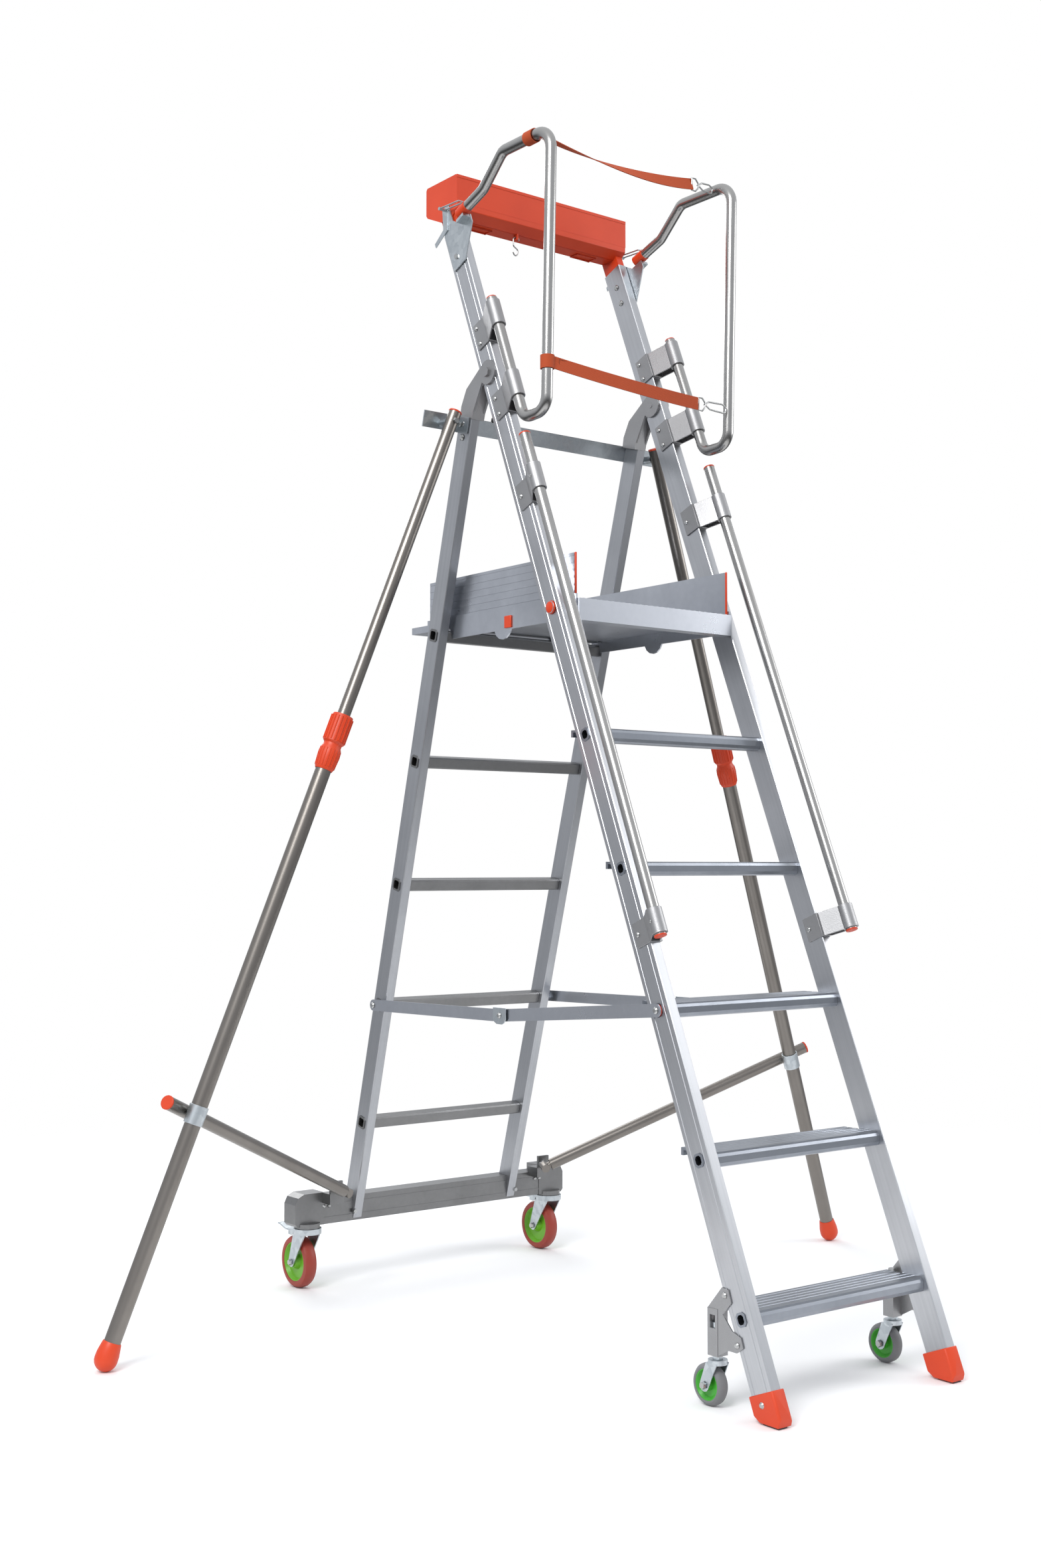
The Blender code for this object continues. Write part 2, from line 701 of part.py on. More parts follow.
def rear_beam():
    """The cross beam with cast ends for the castors and ears for the struts."""
    back = BEAM_FRONT + BEAM_DEEP
    wall = BEAM_WALL
    channel = [
        (BEAM_FRONT, BEAM_LOW), (BEAM_FRONT, BEAM_TOP), (back, BEAM_TOP), (back, BEAM_LOW),
        (back - wall, BEAM_LOW), (back - wall, BEAM_TOP - wall),
        (BEAM_FRONT + wall, BEAM_TOP - wall), (BEAM_FRONT + wall, BEAM_LOW),
    ]
    beam = prism([channel], -BEAM_HALF, BEAM_HALF, "X")
    adds, cuts = [], []
    for side in SIDES.values():
        end = [
            (0.330, BEAM_LOW), (BEAM_END - 0.006, BEAM_LOW), (BEAM_END, BEAM_LOW + 0.007),
            (BEAM_END, 0.206), (0.402, 0.222), (0.386, 0.230), (0.330, 0.230),
        ]
        outline = [(side * x, z) for x, z in end]
        adds.append(prism([outline], BEAM_FRONT - 0.0015, back + 0.0015, "Y"))
        centre = (side * CASTOR_X, CASTOR_Y)
        adds.append(rod((*centre, 0.1484), (*centre, 0.1600), 0.0300, 16))
        cuts.append(rod((*centre, 0.1400), (*centre, 0.2000), 0.0083))
        hinge = strut_axis(side)
        foot = Vector((side * STRUT_FOOT.x, STRUT_FOOT.y, STRUT_FOOT.z))
        adds.append(rod(foot + hinge * 0.0113, foot + hinge * 0.0330, 0.0110))
        adds.append(block(span(side, 0.2960, 0.3360), (1.3930, 1.4340), (0.2050, 0.2300)))
        adds.append(block(span(side, 0.3000, 0.3340), (1.3930, 1.4000), (0.2150, 0.2600)))
    node("rear_beam", joined(beam, adds, cuts), "aluminium", WORLD, (0, BEAM_FRONT, BEAM_LOW))


def castor_fork(centre, axle_y, axle_z, leg_in, leg_out, crown_low, crown_high, crown_r, stem_top, stem_r):
    """A swivel fork: stem, crown and two legs to the axle."""
    x, y = centre
    shapes = [rod((x, y, crown_low), (x, y, crown_high), crown_r, 16)]
    shapes.append(rod((x, y, crown_low + 0.001), (x, y, stem_top), stem_r))
    outline = [
        (y - crown_r * 0.72, crown_low + 0.003), (y + crown_r * 0.80, crown_low + 0.003),
        *arc((axle_y, axle_z), AXLE_R + 0.007, 30, -150, 6),
    ]
    for turn in (-1, 1):
        legs = tuple(sorted((x + turn * leg_in, x + turn * leg_out)))
        shapes.append(prism([outline], *legs, "X"))
    ends = (x - leg_out - 0.004, x + leg_out + 0.004)
    shapes.append(rod((ends[0], axle_y, axle_z), (ends[1], axle_y, axle_z), AXLE_R))
    return joined(shapes[0], shapes[1:])


def wheel(radius, half, hub_half, segments):
    """A wheel about Z with a bore for its axle."""
    bore = AXLE_R + GAP
    rim = radius * 0.74
    side = [
        (bore, hub_half), (radius * 0.24, hub_half), (radius * 0.27, half * 0.55),
        (rim - 0.004, half * 0.55), (rim, half * 0.92), (radius - 0.004, half * 0.92),
        (radius - 0.0012, half * 0.60), (radius, half * 0.25),
    ]
    loop = side + [(r, -h) for r, h in reversed(side)]
    return moved(lathe(loop, segments), Matrix.Rotation(math.pi / 2, 4, "Y"))


def rear_castors():
    """Swivel forks, wheels and brake levers at the ends of the rear beam."""
    axle_y = CASTOR_Y + WHEEL_TRAIL
    for name, side in SIDES.items():
        x = side * CASTOR_X
        fork = castor_fork(
            (x, CASTOR_Y), axle_y, AXLE_Z, 0.0200, 0.0230, 0.1350, 0.1480, 0.0340, 0.1980, 0.0080
        )
        node(f"rear_castor_fork_{name}", fork, "galvanised", WORLD, (x, CASTOR_Y, 0.1350))
        tyre = wheel(WHEEL_R, WHEEL_HALF, 0.0190, 24)
        moved(tyre, Matrix.Translation((x, axle_y, AXLE_Z)))
        node(f"rear_wheel_{name}", tyre, "tyre_orange", WORLD, (x, axle_y, AXLE_Z))
        pivot = (axle_y + 0.0060, 0.1330)
        boss = rod((x - 0.0197, *pivot), (x + 0.0197, *pivot), 0.0045, 12)
        lever = [
            (pivot[0], 0.1305), (1.5300, 0.1320), (1.5570, 0.1400), (1.5650, 0.1400),
            (1.5650, 0.1435), (1.5560, 0.1435), (1.5290, 0.1360), (pivot[0], 0.1355),
        ]
        plate = prism([lever], x - 0.0100, x + 0.0100, "X")
        node(f"brake_lever_{name}", joined(boss, [plate]), "galvanised", WORLD, (x, *pivot))


def front_castors():
    """Sprung castors behind the front stiles: housing, sliding stem, fork and wheel."""
    axle_y = SMALL_Y + SMALL_TRAIL
    half = HOUSING / 2
    ears = [
        (0.0970, 0.2050), (0.1050, 0.2280), (0.1220, 0.2300), (0.1600, 0.1870), (0.1600, 0.1000),
        (0.1350, 0.0990), (0.1050, 0.1160), (0.0830, 0.1160), (0.0660, 0.1280), (0.0720, 0.1460),
        (0.0950, 0.1540), (0.1200, 0.1800),
    ]
    for name, side in SIDES.items():
        x = side * SMALL_X
        body = block((x - half, x + half), (SMALL_Y - half, SMALL_Y + half), (0.0980, 0.1870))
        outer = prism([ears], *span(side, STILE_OUT + GAP, STILE_OUT + 0.0028), "X")
        bore = rod((x, SMALL_Y, 0.0900), (x, SMALL_Y, 0.1780), STEM_R + GAP)
        window = block((x - 0.03, x + 0.03), (SMALL_Y - 0.0070, SMALL_Y + 0.0070), (0.1500, 0.1750))
        node(
            f"castor_housing_{name}", joined(body, [outer], [bore, window]), "galvanised", WORLD,
            (x, SMALL_Y, 0.0980),
        )
        stem = rod((x, SMALL_Y, 0.0908), (x, SMALL_Y, 0.1600), STEM_R)
        socket = rod((x, SMALL_Y, 0.0850), (x, SMALL_Y, 0.1300), 0.0042)
        node(f"castor_stem_{name}", joined(stem, cuts=[socket]), "galvanised", WORLD, (x, SMALL_Y, 0.0908))
        fork = castor_fork(
            (x, SMALL_Y), axle_y, SMALL_R, 0.0145, 0.0168, 0.0815, 0.0905, 0.0188, 0.1250, 0.0040
        )
        node(f"front_castor_fork_{name}", fork, "galvanised", WORLD, (x, SMALL_Y, 0.0815))
        tyre = wheel(SMALL_R, SMALL_HALF, 0.0138, 20)
        moved(tyre, Matrix.Translation((x, axle_y, SMALL_R)))
        node(f"front_wheel_{name}", tyre, "tyre_grey", WORLD, (x, axle_y, SMALL_R))


def leg_space(side):
    """The stabiliser's own axes: Z up along the leg, Y along its bolt."""
    up = LEG_TOP - LEG_FOOT
    up.normalize()
    bolt = Vector((1, 0, 0)).cross(-up).normalized()
    bolt = -bolt if bolt.y < 0 else bolt
    across = bolt.cross(up)
    turn = Matrix((across, bolt, up)).transposed().to_4x4()
    if side < 0:
        flip = Matrix.Diagonal((-1, 1, 1, 1))
        turn = flip @ turn @ flip
    place = Vector((side * LEG_TOP.x, LEG_TOP.y, LEG_TOP.z))
    return WORLD @ Matrix.Translation(place) @ turn


def strut_ends():
    """Where the right strut starts and where it passes behind the leg."""
    down = (LEG_FOOT - LEG_TOP).normalized()
    on_leg = LEG_TOP + down * CLAMP_AT
    across = (on_leg - STRUT_FOOT).normalized().cross(down).normalized()
    across = -across if across.y < 0 else across
    return STRUT_FOOT, on_leg + across * (CLAMP_R + STRUT_R + 0.0005)


def strut_axis(side):
    """The strut's hinge axis, square to the strut and to the rear stile, pointing back."""
    start, end = strut_ends()
    along = (end - start).normalized()
    stile = Vector((0, -math.sin(REAR_LEAN), math.cos(REAR_LEAN)))
    axis = along.cross(stile).normalized()
    axis = -axis if axis.y < 0 else axis
    return Vector((side * axis.x, axis.y, axis.z))


def stabilisers():
    """Two telescopic legs on a band across the rear stiles, and their struts."""
    band = block((-0.3580, 0.3580), (REAR_DEEP / 2 + GAP, REAR_DEEP / 2 + 0.0033), (2.0766, 2.1136))
    adds = []
    bolt = leg_space(1).to_3x3() @ Vector((0, 1, 0))
    into_rear = REAR.inverted() @ WORLD
    for side in SIDES.values():
        top = Vector((side * LEG_TOP.x, LEG_TOP.y, LEG_TOP.z))
        boss = rod(top + bolt * (LEG_UPPER_R + GAP), top + bolt * 0.0430, 0.0090)
        adds.append(moved(boss, into_rear))
        edge = rear_edge(2.095) + 0.0009
        adds.append(block(span(side, edge, edge + 0.003), (-0.0180, REAR_DEEP / 2 + 0.0030), (2.0770, 2.1132)))
    node("stabiliser_band", joined(band, adds), "galvanised", REAR, (0, REAR_DEEP / 2, 2.095))
    length = (LEG_FOOT - LEG_TOP).length
    lean = math.cos((LEG_TOP - LEG_FOOT).angle(Vector((0, 0, 1))))
    bulb = -length + FOOT_R / lean
    foot = [(0, bulb - FOOT_R)]
    foot += arc((0, bulb), FOOT_R, -75, 0, 5)
    foot += [(FOOT_R * 0.92, bulb + 0.022), (LEG_LOWER_R + 0.001, bulb + 0.036), (0, bulb + 0.036)]
    collar = [
        (0, -0.8500), (LEG_LOWER_R - 0.001, -0.8500), (0.0215, -0.8440), (COLLAR_R * 0.93, -0.8150),
        (COLLAR_R * 0.90, -0.8010), (0.0205, -0.7960), (0.0205, -0.7900), (COLLAR_R, -0.7850),
        (COLLAR_R, -0.7300), (COLLAR_R - 0.002, -COLLAR_TOP), (0, -COLLAR_TOP),
    ]
    start, end = strut_ends()
    for name, side in SIDES.items():
        space = leg_space(side)
        upper = rod((0, 0, -LEG_UPPER_LONG), (0, 0, LEG_OVER), LEG_UPPER_R)
        inside = rod((0, 0, -LEG_UPPER_LONG - 0.01), (0, 0, LEG_OVER - 0.004), LEG_UPPER_R - TUBE_WALL)
        node(f"stabiliser_upper_{name}", joined(upper, cuts=[inside]), "aluminium", space)
        lower = rod((0, 0, bulb + 0.02), (0, 0, -0.8000), LEG_LOWER_R, 14)
        ring = rod((0, 0, -CLAMP_AT - 0.020), (0, 0, -CLAMP_AT + 0.020), CLAMP_R, 14)
        bore = rod((0, 0, bulb + 0.04), (0, 0, -0.7000), LEG_BORE, 14)
        shape = joined(lower, [lathe(foot, 14), lathe(collar, 14), ring], [bore])
        node(f"stabiliser_lower_{name}", shape, "aluminium", space, (0, 0, -0.8000))
        strut(name, side, start, end)


def strut(name, side, start, end):
    """A strut tube with a solid eye at its hinge."""
    along = (end - start).normalized()
    along.x *= side
    axis = strut_axis(side)
    third = axis.cross(along)
    turn = Matrix((third, axis, along)).transposed().to_4x4()
    place = Vector((side * start.x, start.y, start.z))
    space = WORLD @ Matrix.Translation(place) @ turn
    length = (end - start).length + STRUT_OVER
    tube = rod((0, 0, 0.0160), (0, 0, length), STRUT_R)
    bore = rod((0, 0, 0.0360), (0, 0, length + 0.01), STRUT_R - TUBE_WALL)
    eye = rod((0, -0.0110, 0), (0, 0.0110, 0), 0.0110)
    link = block((-0.0070, 0.0070), (-0.0090, 0.0090), (0, 0.0300))
    node(f"strut_{name}", joined(tube, [eye, link], [bore]), "aluminium", space)


def platform():
    """The standing deck with side plates, toe boards, pivot pins and lips behind the top rung."""
    pivot = (DECK_HOLE * math.sin(FRONT_LEAN), DECK_HOLE * math.cos(FRONT_LEAN))
    outer = DECK_HALF + SIDE_WALL
    deck = block((-DECK_HALF - 0.001, DECK_HALF + 0.001), (DECK_Y0, DECK_Y1), (DECK_LOW, DECK_TOP))
    nose = block((-DECK_HALF - 0.001, DECK_HALF + 0.001), (DECK_Y0, 0.6150), (1.5400, DECK_TOP - 0.001))
    adds = [nose]
    lobe = arc((0.8500, 1.5560), 0.0320, 200, 340, 6)
    plate = [(0.5900, 1.5970), (0.5900, 1.5450), *lobe, (1.0450, 1.5450), (1.0530, 1.5725), (1.1450, 1.5725), (1.1450, 1.5970)]
    lip_y = TOP_RUNG_Y + RUNG_REACH + LIP_GAP
    for side in SIDES.values():
        adds.append(prism([plate], *span(side, DECK_HALF, outer), "X"))
        adds.append(block(span(side, DECK_HALF - 0.003, DECK_HALF + 0.0002), (0.6000, 1.1400), (1.5800, TOE_TOP)))
        adds.append(rod((side * (outer - 0.002), *pivot), (side * 0.2600, *pivot), DECK_PIN))
        adds.append(rod((side * 0.2568, *pivot), (side * 0.2625, *pivot), 0.0140))
        lip = block(span(side, 0.1000, 0.1350), (lip_y, lip_y + LIP_WALL), (1.5450, 1.5750))
        adds.append(lip)
    node("platform", joined(deck, adds), "aluminium", WORLD, (0, *pivot))


def spreaders():
    """Two folding flat bars a side that link the ladders below the deck."""
    along = FIRST_TREAD + 2 * PITCH
    start = (along * math.sin(FRONT_LEAN), along * math.cos(FRONT_LEAN))
    rear_x = BAR_X + BAR_WALL + GAP
    for name, side in SIDES.items():
        bar = prism([capsule(start, BAR_MID, BAR_HALF)], *span(side, BAR_X, BAR_X + BAR_WALL), "X")
        boss = rod((side * 0.2588, *start), (side * (BAR_X + 0.001), *start), 0.0100)
        node(f"spreader_front_{name}", joined(bar, [boss]), "aluminium", WORLD, (side * BAR_X, *start))
        bar = prism([capsule(BAR_MID, BAR_REAR, BAR_HALF)], *span(side, rear_x, rear_x + BAR_WALL), "X")
        boss = rod((side * 0.2538, *BAR_REAR), (side * (rear_x + 0.001), *BAR_REAR), 0.0100)
        node(f"spreader_rear_{name}", joined(bar, [boss]), "aluminium", WORLD, (side * rear_x, *BAR_MID))


def straps():
    """The webbing across the guard hoops."""
    reach = HOOP_X - TUBE_R - 0.0005
    sag, steps, thick = 0.040, 10, 0.0025
    top = []
    for step in range(steps + 1):
        part = step / steps
        top.append((-reach + 2 * reach * part, 2.6040 - 4 * sag * part * (1 - part)))
    loop = top + [(x, z - thick) for x, z in reversed(top)]
    node("strap_upper", prism([loop], 0.6600, 0.6880, "Y"), "webbing", WORLD, (-reach, 0.674, 2.604))
    loop = [(-reach, 2.110), (reach, 2.088), (reach, 2.060), (-reach, 2.082)]
    node("strap_lower", prism([loop], 0.6330, 0.6355, "Y"), "webbing", WORLD, (-reach, 0.634, 2.096))


front_stiles()
treads()
foot_caps()
top_tray()
hoop_clamps()
handrails()
guard_hoops()
hoop_brackets()
hinge_castings()
rear_stiles()
rungs()
rear_beam()
rear_castors()
front_castors()
stabilisers()
platform()
spreaders()
straps()
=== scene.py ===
"""Looks of the mobile platform stepladder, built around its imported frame.

Everything is in metres in the frame's own axes: +Z up, treads climbed from -Y.
"""

import json
import logging
import math
from dataclasses import astuple, dataclass, field
from enum import Enum
from typing import Callable, Iterable, Sequence

import bmesh
import bpy
from mathutils import Matrix, Vector


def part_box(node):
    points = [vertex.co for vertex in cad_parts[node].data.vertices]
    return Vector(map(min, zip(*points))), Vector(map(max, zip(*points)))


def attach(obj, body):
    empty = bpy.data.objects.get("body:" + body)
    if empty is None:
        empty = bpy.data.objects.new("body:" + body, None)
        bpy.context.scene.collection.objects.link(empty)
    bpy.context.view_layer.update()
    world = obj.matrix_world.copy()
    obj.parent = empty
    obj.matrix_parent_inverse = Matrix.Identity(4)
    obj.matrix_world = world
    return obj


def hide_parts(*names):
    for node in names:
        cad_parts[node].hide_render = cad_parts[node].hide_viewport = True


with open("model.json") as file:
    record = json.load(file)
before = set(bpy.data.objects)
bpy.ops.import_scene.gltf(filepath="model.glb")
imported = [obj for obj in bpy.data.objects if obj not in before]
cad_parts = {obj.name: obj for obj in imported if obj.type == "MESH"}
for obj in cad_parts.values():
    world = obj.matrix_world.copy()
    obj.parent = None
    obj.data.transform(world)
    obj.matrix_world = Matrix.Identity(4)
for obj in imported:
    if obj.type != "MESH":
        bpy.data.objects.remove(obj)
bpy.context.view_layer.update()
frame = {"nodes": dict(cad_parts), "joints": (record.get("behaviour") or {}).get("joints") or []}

LOG = logging.getLogger("stepladder")

Point = Sequence[float]

# Layout shared with the solids
PITCH = 0.300
FRONT_LEAN = math.radians(22.07)
REAR_LEAN = math.radians(15.22)
Y_CENTRE = 0.7667
REAR_FOOT_Y = 1.4973
STILE_OUT, STILE_IN, STILE_HALF = 0.2564, 0.2324, 0.0290
FIRST_TREAD = 0.1932
DECK_HOLE = FIRST_TREAD + 5 * PITCH
TUBE_R = 0.0125
HOOP_X, HOOP_FWD = 0.2680, 0.0835
RAIL_X, RAIL_FWD = 0.2735, 0.0780

WORLD = Matrix.Translation((0, -Y_CENTRE, 0))
FRONT = WORLD @ Matrix.Rotation(-FRONT_LEAN, 4, "X")
REAR = WORLD @ Matrix.Translation((0, REAR_FOOT_Y, 0)) @ Matrix.Rotation(REAR_LEAN, 4, "X")
SIDES = {"left": -1, "right": 1}
JOINTS = {joint["name"]: joint for joint in frame["joints"]}
ROOM = Matrix.Identity(4)
ORIGIN, ACROSS, UPRIGHT = (0, 0, 0), (1, 0, 0), (0, 0, 1)
FRONT_BODY, REAR_BODY = "front_ladder", "rear_ladder"


class Pattern(Enum):
    """How a finish varies over its surface."""

    STREAK = "streak"
    GRAIN = "grain"
    SPANGLE = "spangle"
    WEAVE = "weave"


class Value:
    """A shader socket that adds Math nodes when it is used in an expression."""

    def __init__(self, recipe: "Recipe", socket: bpy.types.NodeSocket) -> None:
        """Wrap one output socket of the recipe's material."""
        self.recipe = recipe
        self.socket = socket

    def math(self, operation: str, first: object, second: object) -> "Value":
        """Add one Math node.

        Args:
            operation: the node's operation.
            first: a Value or a number.
            second: a Value or a number.

        Returns:
            The node's result.
        """
        node = self.recipe.add("ShaderNodeMath", {"operation": operation}, {0: first, 1: second})
        return Value(self.recipe, node.outputs[0])

    def __add__(self, other: object) -> "Value":
        """Sum."""
        return self.math("ADD", self, other)

    def __sub__(self, other: object) -> "Value":
        """Difference."""
        return self.math("SUBTRACT", self, other)

    def __rsub__(self, other: object) -> "Value":
        """Difference, reflected."""
        return self.math("SUBTRACT", other, self)

    def __mul__(self, other: object) -> "Value":
        """Product."""
        return self.math("MULTIPLY", self, other)

    __radd__ = __add__
    __rmul__ = __mul__


class Recipe:
    """A material under construction."""

    def __init__(self, name: str) -> None:
        """Start a material with one Principled shader.

        Args:
            name: the material's name.
        """
        self.material = bpy.data.materials.new(name)
        self.material.use_nodes = True
        self.tree = self.material.node_tree
        self.shader = self.tree.nodes["Principled BSDF"]

    def add(self, kind: str, settings: dict, inputs: dict) -> bpy.types.Node:
        """Add a node.

        Args:
            kind: the node's type.
            settings: attributes set before its sockets.
            inputs: socket name or index to a Value or a constant.

        Returns:
            The node.
        """
        node = self.tree.nodes.new(kind)
        for key, setting in settings.items():
            setattr(node, key, setting)
        for key, value in inputs.items():
            self.feed(node.inputs[key], value)
        return node

    def feed(self, socket: bpy.types.NodeSocket, value: object) -> None:
        """Link a Value to a socket, or set the socket's own number.

        Args:
            socket: the input socket.
            value: a Value or a constant.
        """
        if isinstance(value, Value):
            self.tree.links.new(value.socket, socket)
        else:
            socket.default_value = value

    def place(self, turn: float, scale: Point) -> Value:
        """Object coordinates turned about X and scaled.

        Args:
            turn: the angle in radians.
            scale: three factors, used after the turn.

        Returns:
            The coordinates.
        """
        source = Value(self, self.add("ShaderNodeTexCoord", {}, {}).outputs["Object"])
        turned = self.add("ShaderNodeMapping", {}, {"Vector": source, "Rotation": (turn, 0, 0)})
        where = Value(self, turned.outputs[0])
        scaled = self.add("ShaderNodeMapping", {}, {"Vector": where, "Scale": scale})
        return Value(self, scaled.outputs[0])

    def noise(self, where: Value, scale: float, detail: float) -> Value:
        """A noise value from 0 to 1.

        Args:
            where: the coordinates.
            scale: how fine it is.
            detail: how many octaves it has.

        Returns:
            The noise.
        """
        inputs = {"Vector": where, "Scale": scale, "Detail": detail}
        node = self.add("ShaderNodeTexNoise", {}, inputs)
        return Value(self, node.outputs[0])

    def mixed(self, factor: Value, first: Point, second: Point) -> Value:
        """A colour between two.

        Args:
            factor: 0 for the first, 1 for the second.
            first: a colour.
            second: a colour.

        Returns:
            The colour.
        """
        inputs = {0: factor, 6: (*first, 1), 7: (*second, 1)}
        node = self.add("ShaderNodeMix", {"data_type": "RGBA"}, inputs)
        return Value(self, node.outputs[2])

    def bump(self, height: Value, strength: float, distance: float) -> Value:
        """A normal from a height.

        Args:
            height: the relief, from 0 to 1.
            strength: how much of it shows.
            distance: its depth in metres.

        Returns:
            The normal.
        """
        inputs = {"Height": height, "Strength": strength, "Distance": distance}
        node = self.add("ShaderNodeBump", {}, inputs)
        return Value(self, node.outputs[0])


@dataclass(frozen=True)
class Finish:
    """A surface finish and the record slot it belongs to."""

    name: str
    slot: str
    colour: tuple[float, float, float]
    other: tuple[float, float, float]
    metallic: float = 0.0
    rough: float = 0.45
    spread: float = 0.12
    pattern: Pattern = Pattern.GRAIN
    lean: float = 0.0
    grain: float = 900.0
    relief: float = 0.12

    def material(self) -> bpy.types.Material:
        """The finish's material, made once.

        Returns:
            The material.
        """
        made = bpy.data.materials.get(self.name)
        return made if made else self.build()

    def build(self) -> bpy.types.Material:
        """Build the material's nodes.

        Returns:
            The material.
        """
        recipe = Recipe(self.name)
        even = recipe.place(0.0, (1, 1, 1))
        cloud = recipe.noise(even, 9.0, 5.0)
        if self.pattern is Pattern.STREAK:
            drawn = recipe.place(self.lean, (1.0, 1.0, 0.012))
            fine = recipe.noise(drawn, self.grain, 3.0)
            tone = cloud * 0.55 + fine * 0.45
        elif self.pattern is Pattern.SPANGLE:
            cell = recipe.add("ShaderNodeTexVoronoi", {}, {"Vector": even, "Scale": self.grain})
            fine = recipe.noise(even, 700.0, 2.0)
            colour = Value(recipe, cell.outputs["Color"])
            grey = recipe.add("ShaderNodeSeparateColor", {}, {0: colour})
            tone = cloud * 0.4 + Value(recipe, grey.outputs[0]) * 0.6
        elif self.pattern is Pattern.WEAVE:
            fine = self.weave(recipe)
            tone = fine * 0.75 + cloud * 0.25
        else:
            fine = recipe.noise(even, self.grain, 3.0)
            tone = cloud * 0.7 + fine * 0.3
        colour = recipe.mixed(tone, self.colour, self.other)
        recipe.feed(recipe.shader.inputs["Base Color"], colour)
        recipe.feed(recipe.shader.inputs["Roughness"], (tone - 0.5) * self.spread + self.rough)
        recipe.feed(recipe.shader.inputs["Normal"], recipe.bump(fine, self.relief, 0.0006))
        recipe.shader.inputs["Metallic"].default_value = self.metallic
        return recipe.material

    def weave(self, recipe: Recipe) -> Value:
        """Twill ribs of a strap in its own coordinates.

        Args:
            recipe: the material being built.

        Returns:
            The height of the weave.
        """
        source = Value(recipe, recipe.add("ShaderNodeUVMap", {"uv_map": "strap"}, {}).outputs[0])
        split = recipe.add("ShaderNodeSeparateXYZ", {}, {0: source})
        across, along = Value(recipe, split.outputs[0]), Value(recipe, split.outputs[1])
        ribs = (across * 2600.0).math("SINE", across * 2600.0, 0)
        twill = ribs.math("SINE", along * 2400.0 + across * 1300.0, 0)
        return ribs * 0.22 + twill * 0.22 + 0.5


DRAWN = Finish(
    "drawn_aluminium", "aluminium", (0.62, 0.63, 0.65), (0.38, 0.39, 0.41), 1.0, 0.31, 0.20,
    Pattern.STREAK, FRONT_LEAN, 160.0, 0.02,
)
# Rear stiles: the same drawn aluminium with its streaks leaning along the rear ladder, and darker
# colours that are painted shade.
DRAWN_REAR_SHADED = Finish(
    "drawn_aluminium_rear", "aluminium", (0.52, 0.53, 0.55), (0.32, 0.33, 0.35), 1.0, 0.33, 0.20,
    Pattern.STREAK, -REAR_LEAN, 160.0, 0.02,
)
ROLLED = Finish(
    "mill_aluminium", "aluminium", (0.60, 0.62, 0.66), (0.38, 0.40, 0.44), 1.0, 0.30, 0.22,
    Pattern.GRAIN, 0.0, 60.0, 0.04,
)
TREAD = Finish(
    "tread_aluminium", "aluminium", (0.36, 0.38, 0.42), (0.22, 0.24, 0.27), 1.0, 0.32, 0.20,
    Pattern.GRAIN, 0.0, 60.0, 0.03,
)
RUNG = Finish(
    "rung_aluminium", "aluminium", (0.27, 0.27, 0.27), (0.17, 0.17, 0.17), 1.0, 0.36, 0.18,
    Pattern.GRAIN, 0.0, 90.0, 0.04,
)
TUBE = Finish(
    "tube_aluminium", "aluminium", (0.46, 0.455, 0.445), (0.33, 0.325, 0.315), 1.0, 0.27, 0.10,
    Pattern.GRAIN, 0.0, 24.0, 0.0,
)
LEG_TUBE = Finish(
    "leg_aluminium", "aluminium", (0.27, 0.25, 0.23), (0.18, 0.165, 0.15), 1.0, 0.34, 0.12,
    Pattern.GRAIN, 0.0, 24.0, 0.0,
)
CAST = Finish(
    "cast_grey", "cast_aluminium", (0.44, 0.44, 0.445), (0.30, 0.30, 0.305), 1.0, 0.46, 0.2,
    Pattern.GRAIN, 0.0, 420.0, 0.35,
)
ZINC = Finish(
    "zinc_plate", "galvanised", (0.60, 0.64, 0.66), (0.42, 0.46, 0.49), 1.0, 0.36, 0.2,
    Pattern.SPANGLE, 0.0, 90.0, 0.06,
)
BOLT = Finish("bolt_steel", "galvanised", (0.55, 0.55, 0.54), (0.36, 0.37, 0.37), 1.0, 0.26, 0.2)
ORANGE = Finish(
    "orange_moulding", "orange_plastic", (0.70, 0.056, 0.006), (0.50, 0.032, 0.004), 0.0, 0.44,
    0.15, Pattern.GRAIN, 0.0, 1100.0, 0.10,
)
BLACK = Finish(
    "black_moulding", "orange_plastic", (0.012, 0.012, 0.014), (0.035, 0.035, 0.037), 0.0, 0.5
)
GREY_TYRE = Finish("grey_tyre", "tyre_grey", (0.13, 0.135, 0.14), (0.20, 0.20, 0.205), 0.0, 0.6)
RED_TYRE = Finish("red_tyre", "tyre_orange", (0.33, 0.040, 0.022), (0.24, 0.028, 0.016), 0.0, 0.45)
GREEN_RIM = Finish("green_rim", "tyre_grey", (0.055, 0.40, 0.030), (0.040, 0.30, 0.022), 0.0, 0.35)
LIME_RIM = Finish("lime_rim", "tyre_orange", (0.17, 0.44, 0.022), (0.11, 0.34, 0.016), 0.0, 0.35)
STRAP = Finish(
    "strap_weave", "webbing", (0.50, 0.080, 0.016), (0.30, 0.036, 0.008), 0.0, 0.85, 0.1,
    Pattern.WEAVE, 0.0, 0.0, 0.25,
)
THREAD = Finish("strap_thread", "webbing", (0.14, 0.035, 0.015), (0.10, 0.024, 0.010), 0.0, 0.7)


MERGE = 1e-7


